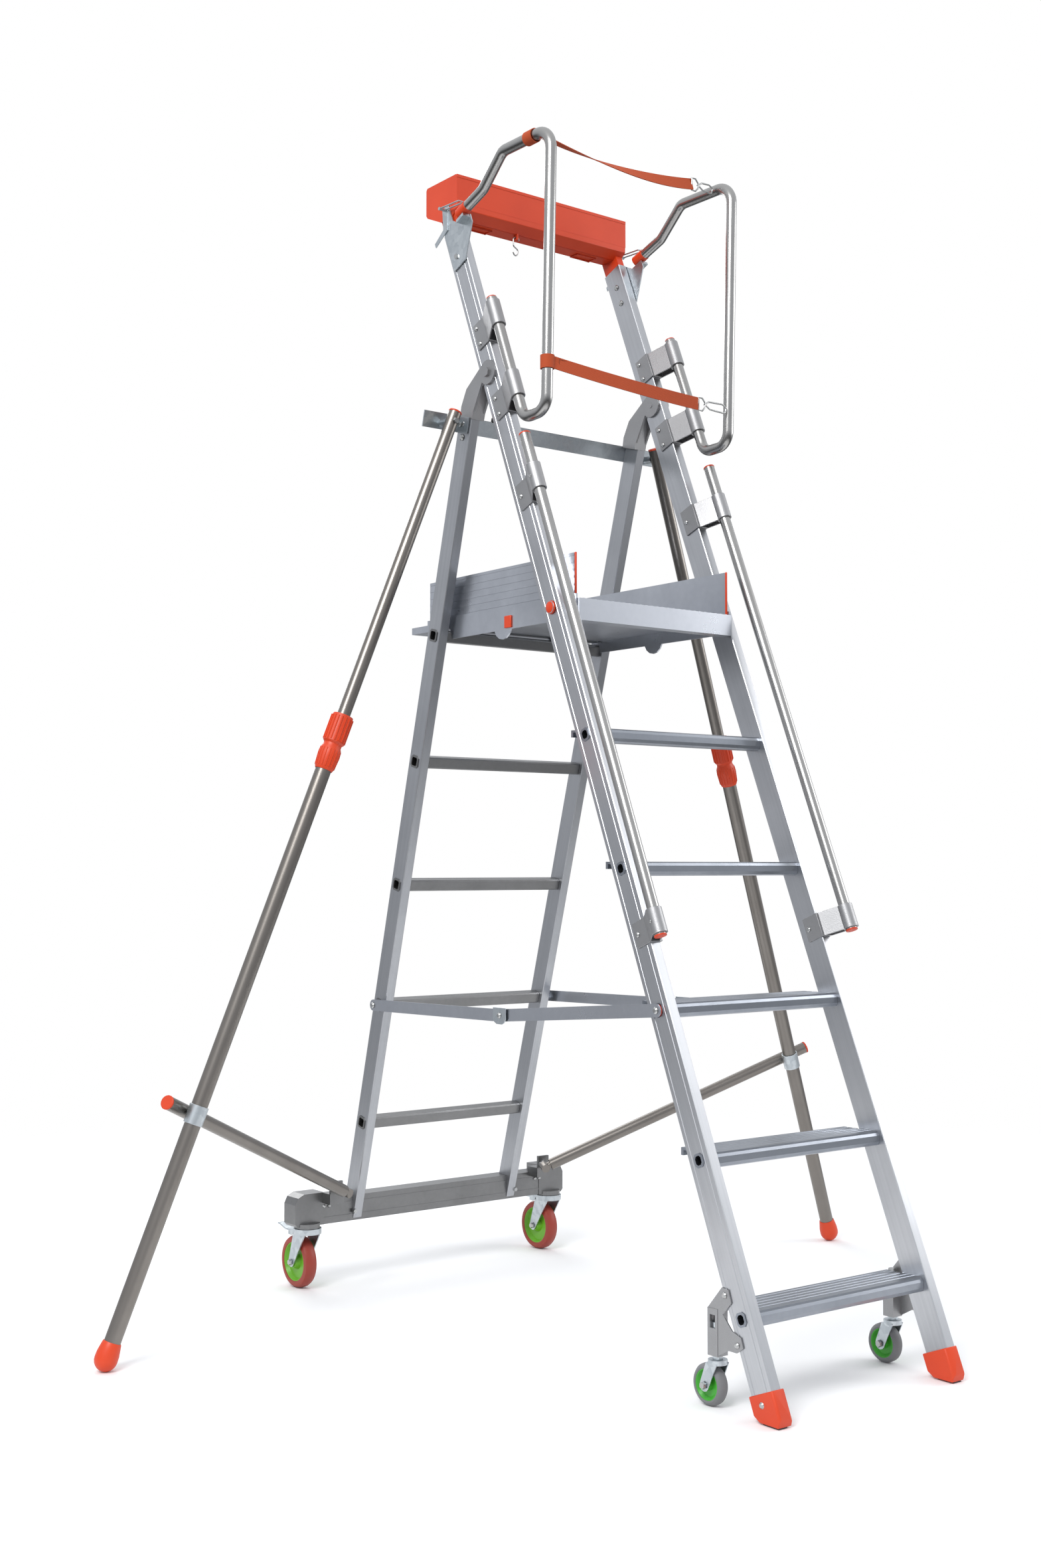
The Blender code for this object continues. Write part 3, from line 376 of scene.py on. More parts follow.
class Solid:
    """Closed shells gathered into one mesh."""

    def __init__(self, space: Matrix) -> None:
        """Start with nothing, measured in the given space."""
        self.bm = bmesh.new()
        self.space = space

    def ring(self, centre: Vector, across: Vector, up: Vector, radius: float, sides: int) -> list:
        """A circle of new points.

        Args:
            centre: its centre.
            across: a unit vector in its plane.
            up: another, at a right angle to it.
            radius: its radius.
            sides: how many points it has.

        Returns:
            The points, in order.
        """
        made = []
        for step in range(sides):
            angle = 2 * math.pi * step / sides
            way = across * math.cos(angle) + up * math.sin(angle)
            made.append(self.bm.verts.new(centre + way * radius))
        return made

    def skin(self, rings: list, closed: bool = False) -> None:
        """Quads between rings, with flat ends unless the run closes on itself.

        Args:
            rings: lists of points, all of one length.
            closed: whether the last ring joins the first.
        """
        pairs = list(zip(rings, rings[1:])) + ([(rings[-1], rings[0])] if closed else [])
        for low, high in pairs:
            for i in range(len(low)):
                j = (i + 1) % len(low)
                self.bm.faces.new((low[i], low[j], high[j], high[i]))
        if not closed:
            self.bm.faces.new(rings[0][::-1])
            self.bm.faces.new(rings[-1])

    def tube(
        self, points: Iterable[Point], radius: float, sides: int = 24, closed: bool = False
    ) -> "Solid":
        """A round tube along points.

        Args:
            points: the centre line.
            radius: the tube's radius.
            sides: how many facets go round.
            closed: whether the end joins the start.

        Returns:
            The solid itself.
        """
        path = [Vector(point) for point in points]
        count = len(path)
        rings = []
        across = None
        for i, point in enumerate(path):
            before = path[(i - 1) % count] if closed or i else point
            after = path[(i + 1) % count] if closed or i < count - 1 else point
            along = (after - before).normalized()
            if across is None:
                across = along.orthogonal().normalized()
            across = (across - along * across.dot(along)).normalized()
            rings.append(self.ring(point, across, along.cross(across), radius, sides))
        self.skin(rings, closed)
        return self

    def lathe(
        self, profile: Sequence[Point], centre: Point, axis: Point, sides: int = 48
    ) -> "Solid":
        """A profile of (height, radius) turned about an axis.

        Args:
            profile: heights along the axis and radii. It closes on itself if both of its ends
                have the same radius, off the axis.
            centre: the point at height 0.
            axis: the axis.
            sides: how many facets go round.

        Returns:
            The solid itself.
        """
        along = Vector(axis).normalized()
        across = along.orthogonal().normalized()
        up = along.cross(across)
        first, last = profile[0], profile[-1]
        bored = first[1] > 0.0005 and first != last and first[1] == last[1]
        rings = [
            self.ring(Vector(centre) + along * height, across, up, max(radius, 1e-4), sides)
            for height, radius in profile
        ]
        self.skin(rings, bored)
        return self

    def prism(self, outline: Sequence[Point], low: float, high: float, axis: str) -> "Solid":
        """An outline extruded along an axis.

        Args:
            outline: points whose two numbers are the other two axes, in order.
            low: where it starts along the axis.
            high: where it ends.
            axis: X, Y or Z.

        Returns:
            The solid itself.
        """
        place: dict[str, Callable] = {
            "X": lambda a, b, c: (c, a, b),
            "Y": lambda a, b, c: (a, c, b),
            "Z": lambda a, b, c: (a, b, c),
        }
        turn, new = place[axis], self.bm.verts.new
        self.skin([[new(turn(a, b, c)) for a, b in outline] for c in (low, high)])
        return self

    def block(self, x: Point, y: Point, z: Point) -> "Solid":
        """A box from its spans."""
        corners = [(x[0], y[0]), (x[1], y[0]), (x[1], y[1]), (x[0], y[1])]
        return self.prism(corners, z[0], z[1], "Z")

    def trim(self, point: Point, outward: Point) -> "Solid":
        """Cut away what lies beyond a plane of the room and close the cut.

        Args:
            point: a point on the plane.
            outward: its normal, towards what is cut away.

        Returns:
            The solid itself.
        """
        self.bm.transform(self.space)
        self.space = Matrix.Identity(4)
        geom = self.bm.verts[:] + self.bm.edges[:] + self.bm.faces[:]
        cut = bmesh.ops.bisect_plane(
            self.bm, geom=geom, dist=MERGE, plane_co=point, plane_no=outward, clear_outer=True
        )
        edges = [item for item in cut["geom_cut"] if isinstance(item, bmesh.types.BMEdge)]
        bmesh.ops.contextual_create(self.bm, geom=edges)
        return self

    def mesh(self, name: str) -> bpy.types.Mesh:
        """The finished mesh in the frame's axes, faces outwards.

        Args:
            name: the mesh's name.

        Returns:
            The mesh.
        """
        self.bm.transform(self.space)
        bmesh.ops.remove_doubles(self.bm, verts=self.bm.verts, dist=MERGE)
        bmesh.ops.recalc_face_normals(self.bm, faces=self.bm.faces)
        mesh = bpy.data.meshes.new(name)
        self.bm.to_mesh(mesh)
        self.bm.free()
        return mesh


def piece(
    name: str, mesh: bpy.types.Mesh, finish: Finish, body: str,
    replaced: Sequence[str] = (), bevel: float = 0.0,
) -> bpy.types.Object:
    """Make a mesh a finished piece of the ladder.

    Args:
        name: the piece's name.
        mesh: its mesh in the frame's axes.
        finish: its finish.
        body: the CAD body it moves with.
        replaced: CAD nodes it stands for.
        bevel: width of softened edges, or 0.

    Returns:
        The object.
    """
    mesh.materials.clear()
    mesh.materials.append(finish.material())
    obj = bpy.data.objects.new(name, mesh)
    bpy.context.scene.collection.objects.link(obj)
    mesh.shade_smooth()
    mesh.set_sharp_from_angle(angle=math.radians(38))
    if bevel:
        soft = obj.modifiers.new("edges", "BEVEL")
        soft.width = bevel
        soft.segments = 2
        soft.limit_method = "ANGLE"
        soft.angle_limit = math.radians(40)
        soft.harden_normals = False
    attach(obj, body)
    if replaced:
        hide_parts(*replaced)
    LOG.info("%s rides on %s", name, body)
    return obj


def spanned(side: int, near: float, far: float) -> list[float]:
    """The span between two distances from the middle on one side, low end first."""
    return sorted((side * near, side * far))


def front_of(y: float, z: float) -> tuple[float, float]:
    """A side-view point of the room as (back, along) of the front ladder."""
    point = Matrix.Rotation(FRONT_LEAN, 2) @ Vector((y, z))
    return point.x, point.y


def rounded_path(points: Sequence[Point], radii: Sequence[float], steps: int = 10) -> list[Vector]:
    """A polyline with rounded corners.

    Args:
        points: the corners.
        radii: one radius for each inner corner.
        steps: points along each arc.

    Returns:
        The path.
    """
    path = [Vector(points[0])]
    for before, corner, after, radius in zip(points, points[1:], points[2:], radii):
        corner = Vector(corner)
        a = (Vector(before) - corner).normalized()
        b = (Vector(after) - corner).normalized()
        half = a.angle(b) / 2
        centre = corner + (a + b).normalized() * radius / math.sin(half)
        start = corner + a * radius / math.tan(half) - centre
        end = corner + b * radius / math.tan(half) - centre
        angle = start.angle(end)
        for step in range(steps + 1):
            part = step / steps
            weight = (math.sin((1 - part) * angle), math.sin(part * angle))
            path.append(centre + (start * weight[0] + end * weight[1]) / math.sin(angle))
    path.append(Vector(points[-1]))
    return path


BOLT_SIDES = 6


@dataclass(frozen=True)
class Head:
    """A rivet or bolt head: its radius, how far it stands out and the facets that go round."""

    radius: float
    height: float
    sides: int = 20

    def taper(self) -> float:
        """The top's radius as a share of the base's."""
        return 0.82 if self.sides == BOLT_SIDES else 0.62


CLAMP_RIVET = Head(0.0055, 0.0022)
RAIL_PIN = Head(0.0035, 0.002)
AXLE_NUT = Head(0.0078, 0.0045, BOLT_SIDES)
LEG_BOLT = Head(0.0075, 0.0050, BOLT_SIDES)
BAR_RIVET = Head(0.0070, 0.0030)
CLIP_RIVET = Head(0.0065, 0.0030)
FOOT_RIVET = Head(0.0062, 0.0022)
EAR_RIVET = Head(0.0060, 0.0026)
HOUSING_BOLT = Head(0.0090, 0.0060, BOLT_SIDES)
CASTING_RIVET = Head(0.0075, 0.0035)
BEAM_SCREW = Head(0.0042, 0.0025)
SMALL_BOLT = Head(0.0062, 0.0040, BOLT_SIDES)
BRACKET_RIVET = Head(0.0070, 0.0035)
BRACKET_BOLT = Head(0.0070, 0.0045, BOLT_SIDES)


class FastenerField:
    """Rivets and bolts set by Geometry Nodes on points that carry the way they face."""

    def __init__(self) -> None:
        """Start with no fasteners."""
        self.heads: dict[tuple[str, Head], list[tuple[Vector, Vector]]] = {}

    def add(self, body: str, space: Matrix, point: Point, facing: Point, head: Head) -> None:
        """Note one head.

        Args:
            body: the CAD body that carries it.
            space: the space that the point is given in.
            point: where its base sits.
            facing: the way it points.
            head: its size.
        """
        place = space @ Vector(point)
        way = (space.to_3x3() @ Vector(facing)).normalized()
        self.heads.setdefault((body, head), []).append((place, way))

    def tree(self) -> bpy.types.NodeTree:
        """The node tree that puts a tapered head on every point.

        Returns:
            The tree, with inputs Radius, Height, Sides and Taper.
        """
        tree = bpy.data.node_groups.new("fasteners", "GeometryNodeTree")
        for label, way, kind in (
            ("Geometry", "INPUT", "NodeSocketGeometry"), ("Radius", "INPUT", "NodeSocketFloat"),
            ("Height", "INPUT", "NodeSocketFloat"), ("Sides", "INPUT", "NodeSocketInt"),
            ("Taper", "INPUT", "NodeSocketFloat"), ("Geometry", "OUTPUT", "NodeSocketGeometry"),
        ):
            tree.interface.new_socket(label, in_out=way, socket_type=kind)
        add, link = tree.nodes.new, tree.links.new
        start, end = add("NodeGroupInput"), add("NodeGroupOutput")
        head = add("GeometryNodeMeshCone")
        link(start.outputs["Radius"], head.inputs["Radius Bottom"])
        taper = add("ShaderNodeMath")
        taper.operation = "MULTIPLY"
        link(start.outputs["Radius"], taper.inputs[0])
        link(start.outputs["Taper"], taper.inputs[1])
        link(taper.outputs[0], head.inputs["Radius Top"])
        link(start.outputs["Height"], head.inputs["Depth"])
        link(start.outputs["Sides"], head.inputs["Vertices"])
        points = add("GeometryNodeMeshToPoints")
        link(start.outputs["Geometry"], points.inputs["Mesh"])
        facing = add("GeometryNodeInputNamedAttribute")
        facing.data_type = "FLOAT_VECTOR"
        facing.inputs["Name"].default_value = "facing"
        align = add("FunctionNodeAlignRotationToVector")
        align.axis = "Z"
        link(facing.outputs["Attribute"], align.inputs["Vector"])
        spread = add("GeometryNodeInstanceOnPoints")
        link(points.outputs["Points"], spread.inputs["Points"])
        link(head.outputs["Mesh"], spread.inputs["Instance"])
        link(align.outputs["Rotation"], spread.inputs["Rotation"])
        real = add("GeometryNodeRealizeInstances")
        link(spread.outputs["Instances"], real.inputs[0])
        dress = add("GeometryNodeSetMaterial")
        dress.inputs["Material"].default_value = BOLT.material()
        link(real.outputs[0], dress.inputs["Geometry"])
        link(dress.outputs[0], end.inputs[0])
        return tree

    def build(self) -> None:
        """Turn every noted size of head into one plain piece for each body."""
        tree = self.tree()
        items = tree.interface.items_tree
        sockets = {item.name: item.identifier for item in items if item.in_out == "INPUT"}
        groups = sorted(self.heads, key=lambda group: str((group[0], *astuple(group[1]))))
        for number, (body, head) in enumerate(groups):
            places = self.heads[body, head]
            mesh = bpy.data.meshes.new("heads")
            mesh.from_pydata([place for place, _ in places], [], [])
            facing = mesh.attributes.new("facing", "FLOAT_VECTOR", "POINT")
            for item, (_, way) in zip(facing.data, places):
                item.vector = way
            obj = bpy.data.objects.new("heads", mesh)
            bpy.context.scene.collection.objects.link(obj)
            nodes = obj.modifiers.new("heads", "NODES")
            nodes.node_group = tree
            nodes[sockets["Radius"]] = head.radius
            nodes[sockets["Height"]] = head.height
            nodes[sockets["Sides"]] = head.sides
            nodes[sockets["Taper"]] = head.taper()
            graph = bpy.context.evaluated_depsgraph_get()
            made = bpy.data.meshes.new_from_object(obj.evaluated_get(graph))
            obj.modifiers.remove(nodes)
            bpy.data.objects.remove(obj)
            piece(f"fasteners_{body}_{number}", made, BOLT, body)


@dataclass
class CarriedNodes:
    """The CAD solids that stay in view, with their finishes."""

    finishes: dict[str, Finish] = field(default_factory=lambda: {
        "front_stile": DRAWN, "tread": TREAD, "rear_stile": DRAWN_REAR_SHADED, "rung": RUNG,
        "rear_beam": RUNG, "foot_cap": ORANGE, "top_tray": ORANGE, "hinge_casting": CAST,
        "hoop_clamp": CAST, "hoop_bracket": ZINC, "hoop_latch": ZINC, "castor_housing": CAST,
        "castor_stem": ZINC, "front_castor": ZINC, "rear_castor": ZINC, "brake_lever": ZINC,
        "stabiliser_band": ZINC, "spreader": ROLLED, "platform": ROLLED,
    })

    def dress(self) -> None:
        """Give each carried solid its procedural finish."""
        for name, obj in frame["nodes"].items():
            for start, finish in self.finishes.items():
                if name.startswith(start):
                    for slot in obj.material_slots:
                        slot.material = finish.material()


@dataclass
class TubeClamp:
    """An extruded fork over a front stile that holds a tube beside it."""

    plate: float = 0.0030
    front: float = 0.0045
    back: float = 0.0100
    ring: float = 0.0165
    wall: float = 0.0028
    room: float = 0.0003

    def add(
        self, solid: Solid, side: int, ring_x: float, ring_fwd: float, low: float, high: float
    ) -> None:
        """Add the clamp's shells.

        Args:
            solid: what they are added to, in the front ladder's space.
            side: -1 or 1.
            ring_x: the tube's distance from the middle.
            ring_fwd: the tube's distance in front of the stile's middle.
            low: the clamp's lower end along the stile.
            high: its upper end.
        """
        inside, outside = STILE_IN - self.room, STILE_OUT + self.room
        half, plate, wall = STILE_HALF + self.room, self.plate, self.wall
        near, far = ring_x - self.ring, ring_x + self.ring - 0.001
        fork = [
            (outside, self.back), (outside + plate, self.back),
            (outside + plate, -half - self.front), (inside - plate, -half - self.front),
            (inside - plate, self.back), (inside, self.back), (inside, -half), (outside, -half),
        ]
        outer = [
            (outside + plate - wall, -half), (outside + plate, -half),
            (far, -ring_fwd + 0.006), (far - wall, -ring_fwd + 0.006),
        ]
        inner = [
            (inside + 0.002, -half - 0.002), (inside + 0.002 + wall, -half - 0.002),
            (near + 0.003 + wall, -ring_fwd + 0.008), (near + 0.003, -ring_fwd + 0.004),
        ]
        for outline in (fork, outer, inner):
            solid.prism([(side * x, y) for x, y in outline], low, high, "Z")
        bore = TUBE_R + 0.0004
        profile = [(low, bore), (low, self.ring), (high, self.ring), (high, bore)]
        solid.lathe(profile, (side * ring_x, -ring_fwd, 0), UPRIGHT, 40)


@dataclass
class GuardRails:
    """Guard hoops, handrails and the clamps that hold them."""

    hoop_high: float = 2.430
    rail_low: float = 0.919
    rail_high: float = 2.078
    cap: float = 0.0030
    clamp_high: float = 0.064
    hoop_clamps: tuple = (("upper", 2.358), ("lower", 2.170))
    rail_clamps: tuple = ((1.937, 1.999), (0.925, 0.977))
    corners: tuple = (
        (0.9550, 2.5120), (0.8680, 2.5415), (0.7950, 2.6060),
        (0.6210, 2.6030), (0.6380, 1.9950), (0.7170, 1.9910),
    )
    bends: tuple = (0.030, 0.035, 0.045, 0.034, 0.034)

    def hoop_path(self, side: int) -> list[Vector]:
        """The hoop's centre line in the front ladder's space.

        Args:
            side: -1 or 1.

        Returns:
            The rounded path, from the tray round to the clamps.
        """
        points = [(side * HOOP_X, *front_of(y, z)) for y, z in self.corners]
        points[5] = (side * HOOP_X, -HOOP_FWD, points[5][2])
        points.append((side * HOOP_X, -HOOP_FWD, self.hoop_high))
        return rounded_path(points, self.bends)

    def build(self, heads: FastenerField) -> None:
        """Build both sides.

        Args:
            heads: where the rivets are noted.
        """
        clamp = TubeClamp()
        for name, side in SIDES.items():
            self.hoop(name, side)
            for level, low in self.hoop_clamps:
                solid = Solid(FRONT)
                clamp.add(solid, side, HOOP_X, HOOP_FWD, low, low + self.clamp_high)
                node = f"hoop_clamp_{level}_{name}"
                piece(f"{node}_fork", solid.mesh(node), CAST, FRONT_BODY, [node], 0.0006)
                for along in (low + 0.012, low + 0.052):
                    self.rivet(heads, side, along)
            self.handrail(name, side, clamp, heads)

    def hoop(self, name: str, side: int) -> None:
        """One bent hoop with the orange liners at its ends.

        Args:
            name: left or right.
            side: -1 or 1.
        """
        path = self.hoop_path(side)
        body = f"guard_hoop_{name}"
        tube = Solid(FRONT).tube(path, TUBE_R, 32)
        piece(f"{body}_tube", tube.mesh(body), TUBE, body, [body])
        start, top = path[0], path[-1]
        way = (path[1] - start).normalized()
        liner = Solid(FRONT)
        liner.tube([start - way * 0.004, start + way * 0.030], TUBE_R + 0.0012, 32)
        liner.tube([top, top + Vector((0, 0, self.cap))], TUBE_R - 0.0006, 32)
        piece(f"{body}_liner", liner.mesh("liner"), ORANGE, body, bevel=0.0006)

    def rivet(self, heads: FastenerField, side: int, along: float) -> None:
        """A rivet through a clamp's two plates."""
        heads.add(FRONT_BODY, FRONT, (side * 0.2605, 0.0, along), (side, 0, 0), CLAMP_RIVET)
        heads.add(FRONT_BODY, FRONT, (side * 0.2283, 0.0, along), (-side, 0, 0), CLAMP_RIVET)

    def handrail(self, name: str, side: int, clamp: TubeClamp, heads: FastenerField) -> None:
        """One handrail with its caps and clamps.

        Args:
            name: left or right.
            side: -1 or 1.
            clamp: the clamp that is used for all tubes.
            heads: where the rivets are noted.
        """
        x, y, low, high = side * RAIL_X, -RAIL_FWD, self.rail_low, self.rail_high
        node = f"handrail_{name}"
        line = [(x, y, along) for along in (low + 0.002, 1.3, 1.7, high - 0.002)]
        tube = Solid(FRONT).tube(line, TUBE_R, 32)
        piece(f"{node}_tube", tube.mesh(node), TUBE, FRONT_BODY, [node])
        caps = Solid(FRONT)
        for start, end in ((low, low + 0.004), (high - 0.004, high)):
            caps.tube([(x, y, start), (x, y, end)], TUBE_R + 0.0004, 32)
        piece(f"{node}_caps", caps.mesh("caps"), ORANGE, FRONT_BODY, bevel=0.001)
        solid = Solid(FRONT)
        for start, end in self.rail_clamps:
            middle = (start + end) / 2
            clamp.add(solid, side, RAIL_X, RAIL_FWD, start, end)
            self.rivet(heads, side, middle)
            pin = (x + side * 0.0170, y, middle)
            heads.add(FRONT_BODY, FRONT, pin, (side, 0, 0), RAIL_PIN)
        piece(f"{node}_clamps", solid.mesh("clamps"), CAST, FRONT_BODY, bevel=0.0006)


@dataclass
class Wheels:
    """The tyres, rims and hubs of the castors, their axle nuts and the brakes' ears."""

    rear_size: tuple = (0.0625, 0.0165)
    front_size: tuple = (0.0400, 0.0125)
    rear_fork: float = 0.0230
    front_fork: float = 0.0168
    castor_x: float = 0.3700
    ear: tuple = (
        (1.4560, 0.1360), (1.4560, 0.1470), (1.4920, 0.1400), (1.4930, 0.1280), (1.4800, 0.1270),
    )

    def wheel(
        self, node: str, size: tuple[float, float], tyre: Finish, rim_finish: Finish
    ) -> None:
        """Split one wheel into tyre, rim and hub.

        Args:
            node: the CAD wheel that the pieces stand for, also its body's name.
            size: the tyre's radius and half its width.
            tyre: the tyre's finish.
            rim_finish: the rim's.
        """
        radius, half = size
        low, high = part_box(node)
        centre = (low + high) / 2
        rim = radius * 0.74
        side = [
            (half * 0.5, radius - 0.0006), (half * 0.86, radius - 0.004), (half, rim + 0.003),
            (half * 0.92, rim),
        ]
        outer = [(-x, r) for x, r in reversed(side)] + [(0, radius)] + side
        solid = Solid(ROOM).lathe(outer, centre, ACROSS, 72)
        piece(f"{node}_tyre", solid.mesh(node), tyre, node, [node])
        web, hub, lip = half * 0.36, half * 1.12, half * 0.88
        dish = [
            (lip, rim - 0.0002), (lip, rim - 0.002), (web, rim - 0.007), (web, radius * 0.30),
            (hub, radius * 0.22), (hub, 0.0056),
        ]
        outline = [(-x, r) for x, r in reversed(dish)] + dish
        solid = Solid(ROOM).lathe(outline, centre, ACROSS, 64)
        piece(f"{node}_rim", solid.mesh("rim"), rim_finish, node)

    def ears(self, name: str, side: int) -> None:
        """The two ears of a rear fork that hold its brake lever.

        Args:
            name: left or right.
            side: -1 or 1.
        """
        solid = Solid(WORLD)
        for way in (-1, 1):
            reaches = (self.rear_fork - 0.0030, self.rear_fork)
            x = sorted(side * self.castor_x + way * reach for reach in reaches)
            solid.prism(self.ear, *x, "X")
        mesh = solid.mesh("ears")
        piece(f"rear_castor_fork_{name}_ears", mesh, ZINC, f"rear_castor_{name}", bevel=0.0006)

    def build(self, heads: FastenerField) -> None:
        """Build the four wheels, their axle nuts and the ears of the brakes.

        Args:
            heads: where the nuts are noted.
        """
        for name, side in SIDES.items():
            self.wheel(f"rear_wheel_{name}", self.rear_size, RED_TYRE, LIME_RIM)
            self.wheel(f"front_wheel_{name}", self.front_size, GREY_TYRE, GREEN_RIM)
            self.ears(name, side)
            for end, reach in (("rear", self.rear_fork), ("front", self.front_fork)):
                low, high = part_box(f"{end}_wheel_{name}")
                centre = (low + high) / 2
                for way in (-1, 1):
                    place = (centre.x + way * (reach + 0.0022), centre.y, centre.z)
                    heads.add(f"{end}_castor_{name}", ROOM, place, (way, 0, 0), AXLE_NUT)


@dataclass
class Stabilisers:
    """Telescopic legs with twist collars and feet, and the struts that brace them."""

    upper_r: float = 0.0145
    lower_r: float = 0.0175
    over: float = 0.0257
    cap: float = 0.0008
    bulb_r: float = 0.0240
    ring_at: float = -1.6243
    ring_r: tuple = (0.0178, 0.0205)
    ring_half: float = 0.020
    strut_over: float = 0.060
    strut_apart: float = 0.0355
    ribs: int = 18
    collar_shell: tuple = (
        (-0.8500, 0.0165), (-0.8500, 0.0190), (-0.8440, 0.0215), (-0.8150, 0.0238),
        (-0.8010, 0.0228), (-0.7960, 0.0200), (-0.7900, 0.0200), (-0.7850, 0.0240),
        (-0.7300, 0.0240), (-0.7230, 0.0225), (-0.7230, 0.0150), (-0.8500, 0.0150),
        (-0.8500, 0.0165),
    )

    def space(self, name: str, side: int) -> tuple[Matrix, float]:
        """The leg's own axes, with Z up along it.

        Args:
            name: left or right.
            side: -1 or 1.

        Returns:
            The axes, and where along them the floor lies.
        """
        swing = JOINTS[f"stabiliser_{name}_swing"]
        up = Vector(JOINTS[f"stabiliser_{name}_slide"]["axis"]).normalized()
        bolt = Vector(swing["axis"]).normalized() * side
        across = bolt.cross(up)
        turn = Matrix((across, bolt, up)).transposed().to_4x4()
        top = Vector(swing["pos_m"])
        return Matrix.Translation(top) @ turn, -top.z / up.z

    def build(self, heads: FastenerField) -> None:
        """Build both sides.

        Args:
            heads: where the bolts are noted.
        """
        for name, side in SIDES.items():
            space, foot = self.space(name, side)
            self.leg(name, space, foot, heads)
            self.strut(name)

    def leg(self, name: str, space: Matrix, foot: float, heads: FastenerField) -> None:
        """One telescopic leg.

        Args:
            name: left or right.
            space: the leg's axes.
            foot: where its axis meets the floor.
            heads: where its bolts are noted.
        """
        upper, lower = f"stabiliser_upper_{name}", f"stabiliser_lower_{name}"
        line = [(0, 0, along) for along in (-1.2, -0.8, -0.4, self.over - 0.004)]
        tube = Solid(space).tube(line, self.upper_r, 32)
        piece(f"{upper}_tube", tube.mesh(upper), LEG_TUBE, upper, [upper])
        ends = [(0, 0, self.over - 0.0045), (0, 0, self.over)]
        cap = Solid(space).tube(ends, self.upper_r + self.cap, 32)
        piece(f"{upper}_cap", cap.mesh("cap"), ORANGE, upper, bevel=0.0015)
        heads.add(upper, space, (0, -self.upper_r - 0.0005, 0), (0, -1, 0), LEG_BOLT)
        bulb = foot + self.bulb_r / (space.to_3x3() @ Vector(UPRIGHT)).z
        line = [(0, 0, along) for along in (bulb + 0.03, -1.7, -1.2, -0.84)]
        tube = Solid(space).tube(line, self.lower_r, 36)
        piece(f"{lower}_tube", tube.mesh(lower), LEG_TUBE, lower, [lower])
        boot = [(bulb - self.bulb_r, 0.0001)]
        for degrees in range(15, 91, 15):
            angle = math.radians(degrees)
            boot.append((bulb - self.bulb_r * math.cos(angle), self.bulb_r * math.sin(angle)))
        boot += [
            (bulb + 0.012, 0.0236), (bulb + 0.024, 0.0215), (bulb + 0.034, 0.0196),
            (bulb + 0.036, 0.0185), (bulb + 0.036, 0.0001),
        ]
        solid = Solid(space).lathe(boot, ORIGIN, UPRIGHT)
        piece(f"{lower}_foot", solid.mesh("foot"), ORANGE, lower)
        self.collar(lower, space)
        low, high = self.ring_at - self.ring_half, self.ring_at + self.ring_half
        bore, wall = self.ring_r
        ring = [(low, bore), (low, wall), (high, wall), (high, bore)]
        solid = Solid(space).lathe(ring, ORIGIN, UPRIGHT, 40)
        piece(f"{lower}_ring", solid.mesh("ring"), ZINC, lower, bevel=0.0006)

    def collar(self, body: str, space: Matrix) -> None:
        """The ribbed twist collar in two parts.

        Args:
            body: the CAD body that carries it.
            space: the leg's axes.
        """
        solid = Solid(space).lathe(self.collar_shell, ORIGIN, UPRIGHT, 48)
        nut = ((0.0242, -0.7830), (0.0242, -0.7280))
        sleeve = ((0.0214, -0.8430), (0.0234, -0.8160), (0.0225, -0.8030))
        for step in range(self.ribs):
            angle = 2 * math.pi * step / self.ribs
            x, y = math.cos(angle), math.sin(angle)
            for line, radius in ((nut, 0.0017), (sleeve, 0.0015)):
                solid.tube([(x * out, y * out, along) for out, along in line], radius, 6)
        piece(f"{body}_collar", solid.mesh("collar"), ORANGE, body)

    def strut(self, name: str) -> None:
        """One strut with its lug at the beam and its end cap.

        Args:
            name: left or right.
        """
        node = f"strut_{name}"
        swing = JOINTS[f"{node}_swing"]
        start, axis = Vector(swing["pos_m"]), Vector(swing["axis"])
        leg = Vector(JOINTS[f"stabiliser_{name}_swing"]["pos_m"])
        up = Vector(JOINTS[f"stabiliser_{name}_slide"]["axis"]).normalized()
        on_leg = leg + up * self.ring_at
        across = (on_leg - start).normalized().cross(-up).normalized()
        across = -across if across.y < 0 else across
        end = on_leg + across * self.strut_apart
        along = (end - start).normalized()
        length = (end - start).length + self.strut_over
        line = [start + along * reach for reach in (0.016, 0.3, length - 0.003)]
        solid = Solid(ROOM).tube(line, self.upper_r, 32)
        solid.tube([start, start + along * 0.03], 0.0085, 20)
        solid.tube([start - axis * 0.011, start + axis * 0.011], 0.0110, 28)
        piece(f"{node}_tube", solid.mesh(node), LEG_TUBE, node, [node])
        ends = [start + along * (length - 0.005), start + along * length]
        cap = Solid(ROOM).tube(ends, self.upper_r + self.cap, 32)
        piece(f"{node}_cap", cap.mesh("cap"), ORANGE, node, bevel=0.0015)


